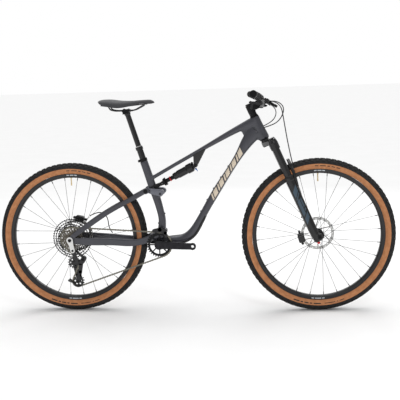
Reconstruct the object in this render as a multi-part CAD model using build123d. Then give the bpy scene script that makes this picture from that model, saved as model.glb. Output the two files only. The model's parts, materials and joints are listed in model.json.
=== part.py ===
"""A short-travel full-suspension mountain bike, one STEP file per piece.

Millimetres. X runs forward, Y to the rider's left and Z up. The origin lies on the ground, midway
between the axles. The drivetrain is on the right, at negative Y.
"""
from math import asin, atan2, cos, degrees, hypot, pi, radians, sin, tan
import os

from build123d import *

# ---- driving sizes ---------------------------------------------------------------------------------
WHEELBASE = 1199.0
WHEEL_RADIUS = 369.0        # 29 inch rim with a 2.35 inch tyre
TYRE_RADIUS = 29.0          # half of the tyre's width
HEAD_ANGLE = 66.5           # degrees from the ground
FORK_OFFSET = 44.0          # axle ahead of the steering axis
STEER_TURN = 3.9            # the bars rest turned this far to the left, degrees
FORK_TRAVEL = 120.0
SHOCK_STROKE = 41.0         # gives the rear axle 118 mm of travel
CRANK_LENGTH = 165.0
CRANK_ANGLE = -1.5          # right arm, degrees above straight ahead
BAR_WIDTH = 760.0
STEM_LENGTH = 55.0
SEAT_ANGLE = 73.1
DROPPER_TRAVEL = 150.0
CHAIN_PITCH = 12.7
RING_TEETH = 30
COG_TEETH = (10, 12, 14, 16, 18, 21, 24, 28, 32, 36, 42, 48)
DRIVEN_COG = 7              # the chain lies on this cog, counted from the smallest
JOCKEY_TEETH = 14
SPOKES = 28

# ---- standard interfaces and fits ------------------------------------------------------------------
RIM_SEAT = 311.0            # bead seat radius of a 622 mm rim
RIM_EDGE = 317.0
SPOKE_BED = 297.0
RIM_WIDTH = 34.0
AXLE_R = 6.0                # rear through axle
FRONT_AXLE_R = 7.5
REAR_HUB_HALF = 74.0        # 148 mm hub
FRONT_HUB_HALF = 55.0       # 110 mm hub
SPINDLE_R = 14.45
BB_HALF = 36.5              # 73 mm bottom bracket shell
SEATPOST_R = 15.45
STANCHION_R = 17.5
POST_INNER_R = 13.0
STEERER_R = 14.3
BAR_CLAMP_R = 15.9
BAR_R = 11.1
PEDAL_HOLE_R = 7.14
BOSS_HOLE_R = 2.5
ROTOR_R = 80.0
ROTOR_T = 1.8
FRONT_ROTOR_Y = 39.8
REAR_ROTOR_Y = 58.7
RUN_FIT = 0.05              # radial clearance of a turning or sliding pair
FACE_GAP = 0.4              # between faces that slide past one another
SEAT_GAP = 0.05             # between pieces that are fixed together
PIN_R = 4.0                 # suspension bolts
OPEN_PIVOT_PLAY = 4.6       # radial play of the two opened pivots

# ---- main points, from the rear axle's foot: x forward, z up ---------------------------------------
REAR_AXLE = (0.0, WHEEL_RADIUS)
BB = (433.0, 336.0)
SEAT_TOP = (364.0, 740.0)
MAIN_PIVOT = (447.0, 390.0)
STAY_PIVOT = (374.0, 598.0)
ROCKER_PIVOT = (445.0, 584.0)
YOKE_PIVOT = (409.0, 609.0)
SHOCK_MOUNT = (617.0, 716.0)

CHAIN_Y = -47.0             # the plane of the chain
COG_SPACING = 3.4
TOOTH_T = 1.6               # thickness of a cog's teeth
CHAIN_GAP = 1.15            # half the space between the chain's side plates
CHAIN_PLATE = 1.2
ROLLER_R = 2.7              # slim enough to clear a tooth where the chain comes off a wheel
ROLLER_SEAT_R = 4.1
TOOTH_RISE = 2.4            # a tooth's tip above the pitch circle
HALF_BASE = WHEELBASE / 2


def world(x, z, y=0.0):
    """A point given from the rear axle's foot, in the bike's own axes."""
    return Vector(x - HALF_BASE, y, z)


def shifted(point):
    """The same as a pair for sketches on an upright plane."""
    return (point[0] - HALF_BASE, point[1])


# ---- small makers ----------------------------------------------------------------------------------
def save(shape, name):
    export_step(shape, "parts/" + name + ".step")


def group(solids):
    return Compound(children=[s for shape in solids for s in shape.solids()])


def upright(y):
    """The plane at this y whose sketch axes are X and Z. Its normal is -Y."""
    return Plane(origin=(0, y, 0), x_dir=(1, 0, 0), z_dir=(0, -1, 0))


def plate(sketch, y0, y1):
    """A sketch in X and Z, made solid between two values of y."""
    return extrude(upright(max(y0, y1)) * sketch, amount=abs(y1 - y0))


def disc(x, z, radius):
    return Pos(x, z) * Circle(radius)


def hull(*circles):
    """The convex outline round some circles given as (x, z, radius)."""
    edges = [disc(x, z, r).edge() for x, z, r in circles]
    return make_hull(edges)


def mirrored(shape):
    return mirror(shape, about=Plane.XZ)


def both_sides(shape):
    return [shape, mirrored(shape)]


def rod(p, q, radius, bore=0.0):
    """A round bar or tube between two points."""
    p = Vector(*p)
    q = Vector(*q)
    base = Plane(origin=p, z_dir=(q - p))
    section = Circle(radius) - Circle(bore) if bore else Circle(radius)
    return extrude(base * section, amount=(q - p).length)


def across(x, z, radius, y0, y1, bore=0.0):
    """A round bar or ring along Y."""
    section = Circle(radius) - Circle(bore) if bore else Circle(radius)
    return plate(Pos(x, z) * section, y0, y1)


def turned(profile, axis=Axis.Z):
    """A solid of revolution from (radius, height) pairs about Z."""
    outline = make_face(Plane.XZ * Polyline(*profile, close=True))
    return revolve(outline, axis=axis)


def wheel_turned(profile):
    """The same about Y, from (radius, y) pairs."""
    return Rot(-90, 0, 0) * turned(profile)


def tube_section(plane, depth, width):
    """A frame tube's section: an oval with flatter sides."""
    corner = 0.46 * min(depth, width)
    return plane * RectangleRounded(depth, width, corner)


def tube(stations, ruled=False):
    """A tube lofted through stations of (x, y, z, depth, width), square to its own path."""
    sections = []
    for i, (x, y, z, depth, width) in enumerate(stations):
        before = stations[max(i - 1, 0)]
        after = stations[min(i + 1, len(stations) - 1)]
        along = Vector(after[0] - before[0], after[1] - before[1], after[2] - before[2])
        side = Vector(0, 1, 0)
        deep = side.cross(along)
        plane = Plane(origin=world(x, z, y), x_dir=deep, z_dir=along)
        sections.append(tube_section(plane, depth, width))
    return loft(sections, ruled=ruled)


def rounded_route(points, fraction=0.45):
    """Straight runs joined by tangent arcs, each as large as its two runs allow."""
    points = [Vector(*p) for p in points]
    edges = []
    radii = []
    last = points[0]
    for before, here, after in zip(points, points[1:], points[2:]):
        u = (here - before).normalized()
        v = (after - here).normalized()
        turn = radians(u.get_angle(v))
        reach = fraction * min((here - before).length, (after - here).length)
        radius = reach / tan(turn / 2)
        start = here - u * reach
        end = here + v * reach
        inward = (v - u).normalized()
        middle = here + inward * (radius / cos(turn / 2) - radius)
        edges.append(Line(last, start).edge())
        edges.append(ThreePointArc(start, middle, end).edge())
        radii.append(radius)
        last = end
    edges.append(Line(last, points[-1]).edge())
    return Wire(edges), radii


def hose(name, points, radius):
    """A hose along a rounded route. It prints its bends and its length."""
    path, radii = rounded_route(points)
    start = Plane(origin=points[0], z_dir=Vector(*points[1]) - Vector(*points[0]))
    solid = sweep(start * Circle(radius), path=path)
    filled = solid.volume / (pi * radius ** 2 * path.length)
    print(name, "length %.0f" % path.length, "radii", ["%.0f" % r for r in radii], "fill %.3f" % filled)
    return solid


# ---- wheels, built at the origin with their axle along Y -------------------------------------------
def tyre():
    """A casing round the tube space, open towards the rim."""
    middle = WHEEL_RADIUS - TYRE_RADIUS
    casing = Circle(TYRE_RADIUS) - Circle(TYRE_RADIUS - 2.6)
    below = middle - (RIM_EDGE + SEAT_GAP)
    foot = Pos(-(below + TYRE_RADIUS), 0) * Rectangle(2 * TYRE_RADIUS, 3 * TYRE_RADIUS)
    section = Plane.XZ * (Pos(middle, 0) * (casing - foot))
    return Rot(-90, 0, 0) * revolve(section, axis=Axis.Z)


def rim():
    """A box-section rim with a well for the tyre's beads."""
    half = RIM_WIDTH / 2
    right = [(SPOKE_BED, 8), (SPOKE_BED + 6, half - 2.5), (RIM_EDGE, half), (RIM_EDGE, half - 2.5),
             (RIM_SEAT, half - 3.0), (RIM_SEAT - 4, 6)]
    left = [(r, -y) for r, y in reversed(right)]
    return wheel_turned(right + left)


def spoke_set(flange_r, flange_left, flange_right):
    """Spokes that leave both faces of each flange, half of them leaning each way."""
    spokes = []
    for i in range(SPOKES):
        angle = 2 * pi * (i + 0.5) / SPOKES
        side = 1 if i % 2 else -1
        lean = 1 if (i // 2) % 2 else -1
        flange = flange_left if side > 0 else flange_right
        hub_angle = angle + lean * radians(62)
        hub_y = flange + lean * 3.4
        inner = Vector(flange_r * cos(hub_angle), hub_y, flange_r * sin(hub_angle))
        outer = Vector(SPOKE_BED * cos(angle), side * 2.0, SPOKE_BED * sin(angle))
        length = (outer - inner).length - 0.4
        profile = [(0, 0), (1.6, 0), (1.6, 3), (1.0, 6), (0.9, length - 14), (2.0, length - 13),
                   (2.0, length), (0, length)]
        spokes.append(Plane(origin=inner, z_dir=outer - inner).location * turned(profile))
    return spokes


def hub(half, flange_r, flange_left, flange_right, rotor_y, right_end, bore, cap_r):
    """A hub shell with two flanges, a seat for the rotor on the left and end caps."""
    lip = 1.5
    profile = [
        (bore, right_end), (cap_r, right_end), (cap_r, flange_right - 6), (13, flange_right - 4),
        (flange_r - 4, flange_right - lip), (flange_r + 2.6, flange_right - lip),
        (flange_r + 2.6, flange_right + lip), (flange_r - 4, flange_right + lip),
        (13, flange_right + 8), (13, flange_left - 8), (flange_r - 4, flange_left - lip),
        (flange_r + 2.6, flange_left - lip), (flange_r + 2.6, flange_left + lip),
        (flange_r - 5, flange_left + lip), (22, rotor_y - ROTOR_T / 2 - SEAT_GAP),
        (17, rotor_y - ROTOR_T / 2 - SEAT_GAP), (17, rotor_y + 3), (cap_r, rotor_y + 4), (cap_r, half),
        (bore, half)]
    return wheel_turned(profile)


def rotor():
    """A brake disc: a braking track with vents, six arms and a centre ring."""
    track = Circle(ROTOR_R) - Circle(ROTOR_R - 14)
    centre = Circle(24) - Circle(17 + SEAT_GAP)
    arms = Sketch()
    for i in range(6):
        arm = Rot(0, 0, 60 * i) * (Pos(44.5, 9) * Rot(0, 0, -12) * Rectangle(50, 5))
        arms += arm
    vents = []
    for i in range(30):
        ring = ROTOR_R - 4.5 if i % 2 else ROTOR_R - 9.5
        vents.append(Rot(0, 0, 12 * i) * Pos(ring, 0) * Circle(2.2))
    return plate(track + arms + centre - vents, -ROTOR_T / 2, ROTOR_T / 2)


def sprocket(teeth, thickness, bore, phase=0.0):
    """A toothed plate whose roller seats sit on the pitch circle, at y = 0."""
    pitch_r = teeth * CHAIN_PITCH / (2 * pi)
    seats = []
    for i in range(teeth):
        seats.append(Rot(0, 0, degrees(phase) + 360 * i / teeth) * Pos(pitch_r, 0) * Circle(ROLLER_SEAT_R))
    outline = Circle(pitch_r + TOOTH_RISE) - seats - Circle(bore)
    return plate(outline, -thickness / 2, thickness / 2)


# ---- frames of reference ---------------------------------------------------------------------------
HEAD = radians(HEAD_ANGLE)
FRONT_AXLE = (WHEELBASE, WHEEL_RADIUS)
# The foot of the steering axis, level with the front axle along that axis.
FOOT = (FRONT_AXLE[0] - FORK_OFFSET * sin(HEAD), FRONT_AXLE[1] - FORK_OFFSET * cos(HEAD))
HEAD_PLANE = Plane(origin=world(*FOOT), x_dir=(sin(HEAD), 0, cos(HEAD)), z_dir=(-cos(HEAD), 0, sin(HEAD)))
STRAIGHT = HEAD_PLANE.location                 # x ahead of the axis, z up along it
STEERED = STRAIGHT * Location((0, 0, 0), (0, 0, STEER_TURN))
HEAD_LOW = 528.0                               # the head tube's ends, up along the axis
HEAD_HIGH = 641.0
STEM_UP = 683.0
BARS = STEERED * Location((STEM_LENGTH, 0, STEM_UP), (0, 90 - HEAD_ANGLE, 0))

SEAT = radians(SEAT_ANGLE)
SEAT_PLANE = Plane(origin=world(*SEAT_TOP), x_dir=(sin(SEAT), 0, cos(SEAT)), z_dir=(-cos(SEAT), 0, sin(SEAT)))

SHOCK_LENGTH = hypot(YOKE_PIVOT[0] - SHOCK_MOUNT[0], YOKE_PIVOT[1] - SHOCK_MOUNT[1])
SHOCK_DIR = ((YOKE_PIVOT[0] - SHOCK_MOUNT[0]) / SHOCK_LENGTH, (YOKE_PIVOT[1] - SHOCK_MOUNT[1]) / SHOCK_LENGTH)
# x runs back along the shock from its front bolt, z is square to it and up.
SHOCK_PLANE = Plane(
    origin=world(*SHOCK_MOUNT), x_dir=(SHOCK_DIR[0], 0, SHOCK_DIR[1]), z_dir=(SHOCK_DIR[1], 0, -SHOCK_DIR[0]))


# ---- the frame -------------------------------------------------------------------------------------
YOKE_IN = 19.5              # half-widths of the layers beside the seat tube
YOKE_OUT = 24.5
ROCKER_IN = YOKE_OUT + FACE_GAP
TONGUE_OUT = 33.5
EYE_IN = TONGUE_OUT + FACE_GAP
EYE_OUT = 45.5
STAY_EYE_IN = 24.5          # the chainstay's eyes beside the main pivot
STAY_EYE_OUT = 39.5
EAR_IN = 13.0               # the ears that hold the shock's front bolt
EAR_OUT = 18.0
POST_DEPTH = 240.0          # the seat tube is bored this deep


DOWN_TUBE = [(915, 0, 874, 50, 46), (893, 0, 846, 50, 50), (845, 0, 778, 38, 52),
             (721, 0, 599, 38, 54), (622, 0, 433, 39, 55), (588, 0, 384, 44, 58),
             (548, 0, 358, 42, 62), (500, 0, 352, 40, 66), (433, 0, 338, 42, 70)]


def front_triangle():
    top = tube([(900, 0, 916, 38, 44), (850, 0, 895, 30, 42), (760, 0, 849, 25, 39),
                (645, 0, 789, 20, 37), (530, 0, 727, 18, 35), (416, 0, 664, 18, 33),
                (385, 0, 647, 18, 30)], ruled=True)
    down = tube(DOWN_TUBE, ruled=True)
    seat = tube([(364, 0, 740, 36, 36), (383, 0, 678, 38, 36), (402, 0, 615, 39, 36),
                 (421, 0, 556, 38, 36), (438, 0, 489, 35, 38), (444, 0, 450, 36, 42),
                 (440, 0, 400, 40, 44), (433, 0, 345, 40, 44)], ruled=True)
    head = STRAIGHT * turned([(0, HEAD_LOW), (27, HEAD_LOW), (26, HEAD_LOW + 22), (22.5, HEAD_LOW + 60),
                              (22.5, HEAD_HIGH), (0, HEAD_HIGH)])
    shell = across(*shifted(BB), 23.5, -BB_HALF, BB_HALF)
    pivot_boss = across(*shifted(MAIN_PIVOT), 17, -(STAY_EYE_IN - FACE_GAP), STAY_EYE_IN - FACE_GAP)
    rocker_x, rocker_z = shifted(ROCKER_PIVOT)
    lug = plate(hull((rocker_x - 20, rocker_z - 8, 16), (rocker_x, rocker_z, 13)), -17, 17)
    rocker_boss = across(rocker_x, rocker_z, 12, -YOKE_OUT, YOKE_OUT)
    mount_x, mount_z = shifted(SHOCK_MOUNT)
    ear = hull((mount_x, mount_z, 8.5), (mount_x - 5, mount_z + 50, 4), (mount_x + 43, mount_z + 76, 5))
    ears = plate(ear, -EAR_OUT, EAR_OUT) - plate(disc(mount_x, mount_z, 46), -EAR_IN, EAR_IN)
    body = seat + top + down + head + shell + pivot_boss + lug + rocker_boss + ears
    steerer_bore = STRAIGHT * turned([(0, HEAD_LOW - 5), (20, HEAD_LOW - 5), (20, HEAD_LOW + 12),
                                      (17, HEAD_LOW + 13), (17, HEAD_HIGH - 11), (18, HEAD_HIGH - 10),
                                      (18, HEAD_HIGH + 5), (0, HEAD_HIGH + 5)])
    post_bore = SEAT_PLANE.location * (Pos(0, 0, -POST_DEPTH / 2 + 20)
                                       * Cylinder(SEATPOST_R + SEAT_GAP, POST_DEPTH + 40))
    shell_bore = across(*shifted(BB), 20, -BB_HALF - 1, BB_HALF + 1)
    pin_bores = across(*shifted(MAIN_PIVOT), 7, -50, 50) + across(rocker_x, rocker_z, 6, -50, 50)
    pin_bores += across(mount_x, mount_z, PIN_R + SEAT_GAP, -50, 50)
    body = body - steerer_bore - post_bore - shell_bore - pin_bores
    for x, z in bottle_holes():
        body = body - boss_hole(x, z)
    return body


# Two bottle-cage screws on the down tube's upper face, 64 mm apart.
DOWN_DIR = Vector(721 - 622, 0, 599 - 433).normalized()
DOWN_UP = Vector(-DOWN_DIR.Z, 0, DOWN_DIR.X)
BOSS_SPACING = 64.0
BOSS_DEPTH = 14.0
DOWN_HALF = 38.5 / 2          # half the down tube's depth midway between two of its stations


def bottle_holes():
    """Where the boss holes' mouths lie."""
    middle = Vector(671.5, 0, 516) + DOWN_UP * DOWN_HALF
    places = [middle + DOWN_DIR * s for s in (-BOSS_SPACING / 2, BOSS_SPACING / 2)]
    return [(place.X, place.Z) for place in places]


def boss_hole(x, z):
    mouth = world(x, z)
    return rod(mouth + DOWN_UP, mouth - DOWN_UP * BOSS_DEPTH, BOSS_HOLE_R)


def frame_bearings():
    """Headset cups and bottom bracket cups, each a separate ring."""
    race = STEERER_R + 4.6
    low_cup = STRAIGHT * turned([(race + 1, HEAD_LOW - 3), (24, HEAD_LOW - 3), (24, HEAD_LOW - SEAT_GAP),
                                 (19.9, HEAD_LOW - SEAT_GAP), (19.9, HEAD_LOW + 11), (race, HEAD_LOW + 11),
                                 (race, HEAD_LOW)])
    high_cup = STRAIGHT * turned([(STEERER_R + RUN_FIT, HEAD_HIGH - 9), (17.9, HEAD_HIGH - 9),
                                  (17.9, HEAD_HIGH + SEAT_GAP), (21, HEAD_HIGH + SEAT_GAP), (21, HEAD_HIGH + 3),
                                  (STEERER_R + RUN_FIT, HEAD_HIGH + 3)])
    x, z = shifted(BB)
    profile = [(SPINDLE_R + RUN_FIT, BB_HALF - 9), (19.9, BB_HALF - 9), (19.9, BB_HALF + SEAT_GAP),
               (21.5, BB_HALF + SEAT_GAP), (21.5, BB_HALF + 7.5), (SPINDLE_R + RUN_FIT, BB_HALF + 7.5)]
    left = Pos(x, 0, z) * wheel_turned(profile)
    right = Pos(x, 0, z) * wheel_turned([(r, -y) for r, y in profile])
    return group([low_cup, high_cup, left, right])


def frame_pivot_pins():
    """The hollow main pivot axle, the rocker's axle and the shock's front bolt, with their heads."""
    main = across(*shifted(MAIN_PIVOT), 6.9, -STAY_EYE_OUT, STAY_EYE_OUT, 3.0)
    rocker = across(*shifted(ROCKER_PIVOT), 5.9, -EYE_OUT, EYE_OUT, 2.5)
    x, z = shifted(SHOCK_MOUNT)
    bolt = across(x, z, PIN_R, -EAR_OUT, EAR_OUT)
    bolt += across(x, z, 7, -EAR_OUT - 3, -EAR_OUT - SEAT_GAP)
    bolt += across(x, z, 7, EAR_OUT + SEAT_GAP, EAR_OUT + 3)
    bolt += across(x, z, PIN_R - 0.2, -EAR_OUT - 1, EAR_OUT + 1)
    return group([main, rocker, bolt])


def seat_clamp():
    """A collar on top of the seat tube with a slot and a bolt at the back."""
    collar = turned([(SEATPOST_R + 0.1, SEAT_GAP), (19.5, SEAT_GAP), (19.5, 13), (SEATPOST_R + 0.1, 13)])
    lugs = Pos(-21, 0, 6.5) * Box(8, 14, 12)
    lugs -= Cylinder(19, 60)
    collar += lugs
    collar -= Pos(-21, 0, 6.5) * Box(16, 2, 16)
    bolt_hole = Pos(-21.5, 0, 6.5) * Rot(90, 0, 0) * Cylinder(2.6, 40)
    bolt = Pos(-21.5, 0, 6.5) * Rot(90, 0, 0) * (Cylinder(2.5, 14) + Pos(0, 0, 8.6) * Cylinder(4.2, 3))
    place = SEAT_PLANE.location
    return group([place * (collar - bolt_hole), place * bolt])


COLLAR_HIGH = 75.0          # top of the dropper's collar above the seat tube
STANCHION_HIGH = COLLAR_HIGH + DROPPER_TRAVEL + 13


def dropper_outer():
    """The post's outer tube and the collar nut that closes it."""
    outer = turned([(POST_INNER_R + RUN_FIT, -POST_DEPTH + 5), (SEATPOST_R, -POST_DEPTH + 5), (SEATPOST_R, 58),
                    (POST_INNER_R + RUN_FIT, 58)])
    collar = turned([(POST_INNER_R + RUN_FIT, 58 + SEAT_GAP), (18, 58 + SEAT_GAP), (18, 70), (16, COLLAR_HIGH),
                     (POST_INNER_R + RUN_FIT, COLLAR_HIGH)])
    return group([SEAT_PLANE.location * outer, SEAT_PLANE.location * collar])


def down_tube_guard():
    """A thin rubber skin under the lower bend of the down tube."""
    edge = [(652, 444), (636, 418), (612, 372), (588, 348), (556, 334), (520, 331)]
    back = [(520, 350), (556, 354), (580, 372), (640, 470)]
    outline = Polyline(*[shifted(p) for p in edge + back], close=True)
    block = plate(make_face(outline), -19, 19)
    skin = [(x, y, z, depth + 0.6, width + 0.6) for x, y, z, depth, width in DOWN_TUBE]
    inside = tube(skin, ruled=True)
    return block - inside


def chain_guide():
    """Two cheeks and a bridge over the chainring's top, on a stalk from the seat tube."""
    x, z = shifted((438, 402))
    cheek = hull((x - 30, z + 3, 8), (x + 26, z + 2, 8), (x, z + 8, 9))
    outer = plate(cheek, CHAIN_Y - 8, CHAIN_Y - 6)
    inner = plate(cheek, CHAIN_Y + 4.6, CHAIN_Y + 6.2)
    bridge = plate(Pos(x, z + 12.5) * Rectangle(30, 5), CHAIN_Y - 8, CHAIN_Y + 6.2)
    stalk = plate(Pos(x + 1, z + 12.5) * Rectangle(18, 5), CHAIN_Y + 6, -20.5)
    return outer + inner + bridge + stalk


# ---- the rear end ----------------------------------------------------------------------------------
DROPOUT_OUT = 79.5
SEATSTAY_IN = DROPOUT_OUT + FACE_GAP
SEATSTAY_OUT = 85.5
MOUNT_IN = SEATSTAY_OUT + FACE_GAP
MOUNT_OUT = 93.0


def chainstays():
    """Both chainstays, their dropouts, the bridge and the eyes of the main pivot."""
    ax, az = shifted(REAR_AXLE)
    px, pz = shifted(MAIN_PIVOT)
    stay = tube([(12, 77, 366, 26, 5), (45, 74.5, 362, 33, 8), (85, 69.5, 359, 36, 11),
                 (143, 60.5, 356, 37, 14), (230, 52, 351, 35, 16), (316, 45, 347.5, 33, 16),
                 (345, 41, 352, 32, 13), (390, 34, 367, 32, 13), (425, 32, 381, 32, 14)])
    dropout = across(ax, az, 17, REAR_HUB_HALF + FACE_GAP, DROPOUT_OUT)
    web = plate(hull((ax, az, 15), (ax + 32, az - 5, 14)), REAR_HUB_HALF + FACE_GAP, DROPOUT_OUT)
    eye = across(px, pz, 16.5, STAY_EYE_IN, STAY_EYE_OUT)
    neck = plate(hull((px - 22, pz - 9, 13), (px, pz, 14)), STAY_EYE_IN + 1, STAY_EYE_OUT - 1)
    side = stay + dropout + web + eye + neck
    bridge = plate(Pos(px - 52, pz - 18) * RectangleRounded(20, 24, 5), -32, 32)
    whole = side + mirrored(side) + bridge
    room = across(ax, az, WHEEL_RADIUS + 6, -34, 34)
    whole -= room
    whole -= across(ax, az, AXLE_R + SEAT_GAP, -120, 120)
    whole -= across(px, pz, 6.9 + RUN_FIT, -60, 60)
    return whole


def rear_axle():
    """The through axle with its head on the left."""
    ax, az = shifted(REAR_AXLE)
    shaft = across(ax, az, AXLE_R, -MOUNT_OUT - 1, SEATSTAY_OUT + FACE_GAP)
    head = across(ax, az, 9, SEATSTAY_OUT + FACE_GAP, SEATSTAY_OUT + 4.5)
    socket = across(ax, az, 3, SEATSTAY_OUT - 4, SEATSTAY_OUT + 6)
    return shaft + head - socket


def seatstays():
    """Both seatstays: eyes round the rear axle, a brace above the tyre and eyes at the rocker."""
    ax, az = shifted(REAR_AXLE)
    tx, tz = shifted(STAY_PIVOT)
    stay = tube([(16, 82.6, 388, 22, 5), (42, 76.5, 407, 25, 9), (85, 68, 436, 27, 12),
                 (148, 60, 477, 26, 13), (250, 50, 534, 24, 13), (325, 42.5, 572, 23, 12),
                 (362, 39.7, 592, 22, 11.5)])
    foot = plate(hull((ax, az, 14), (ax + 17, az + 20, 10)), SEATSTAY_IN, SEATSTAY_OUT)
    eye = across(tx, tz, 14.5, EYE_IN, EYE_OUT)
    side = stay + foot + eye
    side -= across(ax, az, 20, REAR_HUB_HALF - 20, SEATSTAY_IN)
    reach = WHEEL_RADIUS + 10.0
    slope = atan2(tz - az, tx - ax)
    brace = across(ax + reach * cos(slope), az + reach * sin(slope), 5.5, -44, 44)
    whole = side + mirrored(side) + brace
    whole -= across(ax, az, AXLE_R + RUN_FIT, -120, 120)
    whole -= across(tx, tz, PIN_R + OPEN_PIVOT_PLAY, EYE_IN - 8, EYE_OUT + 8)
    whole -= across(tx, tz, PIN_R + OPEN_PIVOT_PLAY, -EYE_OUT - 8, -EYE_IN + 8)
    return whole


def rocker_link():
    """Two side plates. Each carries a tongue for the seatstay and a seat for the shock's yoke."""
    ax, az = shifted(STAY_PIVOT)
    px, pz = shifted(ROCKER_PIVOT)
    sx, sz = shifted(YOKE_PIVOT)
    broad = hull((ax + 30, az - 1, 12), (px + 3, pz + 7, 13), (px, pz, 13), (sx + 3, sz - 7, 10))
    outer = plate(broad, ROCKER_IN, EYE_OUT - 0.5)
    outer -= across(ax, az, 14.5 + OPEN_PIVOT_PLAY + 0.8, TONGUE_OUT, EYE_OUT + 5)
    tongue = plate(hull((ax, az, 11.5), (ax + 30, az - 1, 12.5)), ROCKER_IN, TONGUE_OUT)
    side = outer + tongue
    side -= across(px, pz, 5.9 + RUN_FIT, 0, 60)
    return group(both_sides(side))


def link_bolts():
    """The bolts at the rocker's two outer pivots. Each one has its own play in what it holds."""
    ax, az = shifted(STAY_PIVOT)
    sx, sz = shifted(YOKE_PIVOT)
    stay = across(ax, az, PIN_R, TONGUE_OUT + SEAT_GAP, EYE_OUT + FACE_GAP)
    stay += across(ax, az, PIN_R + OPEN_PIVOT_PLAY + 1.5, EYE_OUT + FACE_GAP, EYE_OUT + 2.6)
    yoke = across(sx, sz, PIN_R, YOKE_IN - 0.5, ROCKER_IN - SEAT_GAP)
    return group(both_sides(stay) + both_sides(yoke))


def rear_caliper():
    """The caliper over the rear rotor's top, on a foot from the left seatstay, with two pads."""
    return caliper_on(shifted(REAR_AXLE), REAR_ROTOR_Y, 78)


def caliper_on(axle, rotor_y, bearing):
    """A caliper that straddles a rotor's rim in the given direction, in degrees, with its pads."""
    x = axle[0] + (ROTOR_R - 1) * cos(radians(bearing))
    z = axle[1] + (ROTOR_R - 1) * sin(radians(bearing))
    place = Location((x, 0, z), (0, -(bearing - 90), 0))
    shell = Pos(0, rotor_y, 3) * Box(44, 27, 32)
    shell = fillet(shell.edges().filter_by(Axis.Y), 8)
    slot = Pos(0, rotor_y, -8) * Box(60, 7.4, 30)
    shell -= slot
    pistons = Pos(0, rotor_y + 14.5, 1) * Rot(90, 0, 0) * Cylinder(11, 3)
    shell += pistons
    for side in (-1, 1):
        shell += Pos(side * 30, rotor_y + 8, 4) * Rot(90, 0, 0) * Cylinder(6.5, 10)
        shell += Pos(side * 24, rotor_y + 8, 4) * Box(14, 10, 10)
    pads = [Pos(0, rotor_y + side * 2.3, -4.5) * Box(24, 1.8, 16) for side in (-1, 1)]
    return group([place * shell] + [place * pad for pad in pads])


# ---- shock -----------------------------------------------------------------------------------------
CAN_END = 120.0
CAN_R = 19.5
CAN_HEAD_R = 23.0           # the can's front end is thicker
CAN_BORE_FROM = 20.0
FLANGE_AT = CAN_END + SHOCK_STROKE + 7
SHAFT_IN = CAN_BORE_FROM + SHOCK_STROKE + 11
SHAFT_R = 10.0


def shock_can():
    """The air can with its front eye."""
    eye = Rot(90, 0, 0) * Cylinder(10.5, 2 * (EAR_IN - FACE_GAP))
    can = turned([(0, 9), (11, 9), (12.5, 12.5), (19, 16), (CAN_HEAD_R, 20), (CAN_HEAD_R, 46), (CAN_R, 50),
                  (CAN_R, 96), (17, 101), (17, 116), (15, CAN_END), (0, CAN_END)])
    can = Rot(0, 90, 0) * can
    body = eye + can
    body -= Rot(90, 0, 0) * Cylinder(PIN_R + RUN_FIT, 60)
    depth = CAN_END + 10 - CAN_BORE_FROM
    body -= Pos(CAN_BORE_FROM + depth / 2, 0, 0) * Rot(0, 90, 0) * Cylinder(SHAFT_R + RUN_FIT, depth)
    return SHOCK_PLANE.location * body


def shock_shaft():
    """The sliding shaft with the flange that the yoke bolts to, and the travel ring on it."""
    shaft = turned([(0, SHAFT_IN), (SHAFT_R, SHAFT_IN), (SHAFT_R, FLANGE_AT - 4), (15, FLANGE_AT - 4),
                    (15, FLANGE_AT), (0, FLANGE_AT)])
    ears = Pos(FLANGE_AT - 2, 0, 0) * Box(4, 16, 38)
    return SHOCK_PLANE.location * (Rot(0, 90, 0) * shaft + ears)


def shock_yoke():
    """A forged yoke: a flange, a body with a window, and two arms that straddle the seat tube."""
    base = FLANGE_AT + SEAT_GAP
    body = Polyline((base, 18), (base + 5, 18), (base + 9, 10), (base + 34, 7), (base + 34, -7),
                    (base + 9, -10), (base + 5, -18), (base, -18), close=True)
    side = Plane(origin=(0, 0, 0), x_dir=(1, 0, 0), z_dir=(0, -1, 0))
    block = extrude(side * make_face(body), amount=YOKE_OUT, both=True)
    block -= Pos(base + 18, 0, 0) * Rot(90, 0, 0) * Cylinder(4.5, 80)
    arm_shape = hull((base + 28, 0, 7), (SHOCK_LENGTH, 0, PIN_R + OPEN_PIVOT_PLAY + 3.4))
    arms = extrude(side * arm_shape, amount=YOKE_OUT, both=True)
    arms -= Pos(SHOCK_LENGTH, 0, 0) * Box(2 * (SHOCK_LENGTH - base - 30), 2 * YOKE_IN, 60)
    whole = block + arms
    whole -= Pos(SHOCK_LENGTH, 0, 0) * Rot(90, 0, 0) * Cylinder(PIN_R + OPEN_PIVOT_PLAY, 80)
    return SHOCK_PLANE.location * whole


LEVER_DOWN = -17.5          # the firmness lever's axis, below the shock's
LEVER_FACE = 11.2


def shock_lever():
    """The blue firmness lever on the can's front face, turning about an axis along the shock."""
    dial = Pos(LEVER_FACE - 3.2, 0, LEVER_DOWN) * Rot(0, 90, 0) * Cylinder(5.2, 6)
    tab = Pos(LEVER_FACE - 4.6, 0, LEVER_DOWN - 7) * Box(3, 5, 12)
    return SHOCK_PLANE.location * (dial + tab)


# ---- drivetrain ------------------------------------------------------------------------------------
RING_R = RING_TEETH * CHAIN_PITCH / (2 * pi)
COG_R = COG_TEETH[DRIVEN_COG] * CHAIN_PITCH / (2 * pi)
JOCKEY_R = JOCKEY_TEETH * CHAIN_PITCH / (2 * pi)
GUIDE_WHEEL = (3.0, 250.0)
CAGE_LENGTH = 94.0
CHAIN_LINKS = 114


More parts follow.
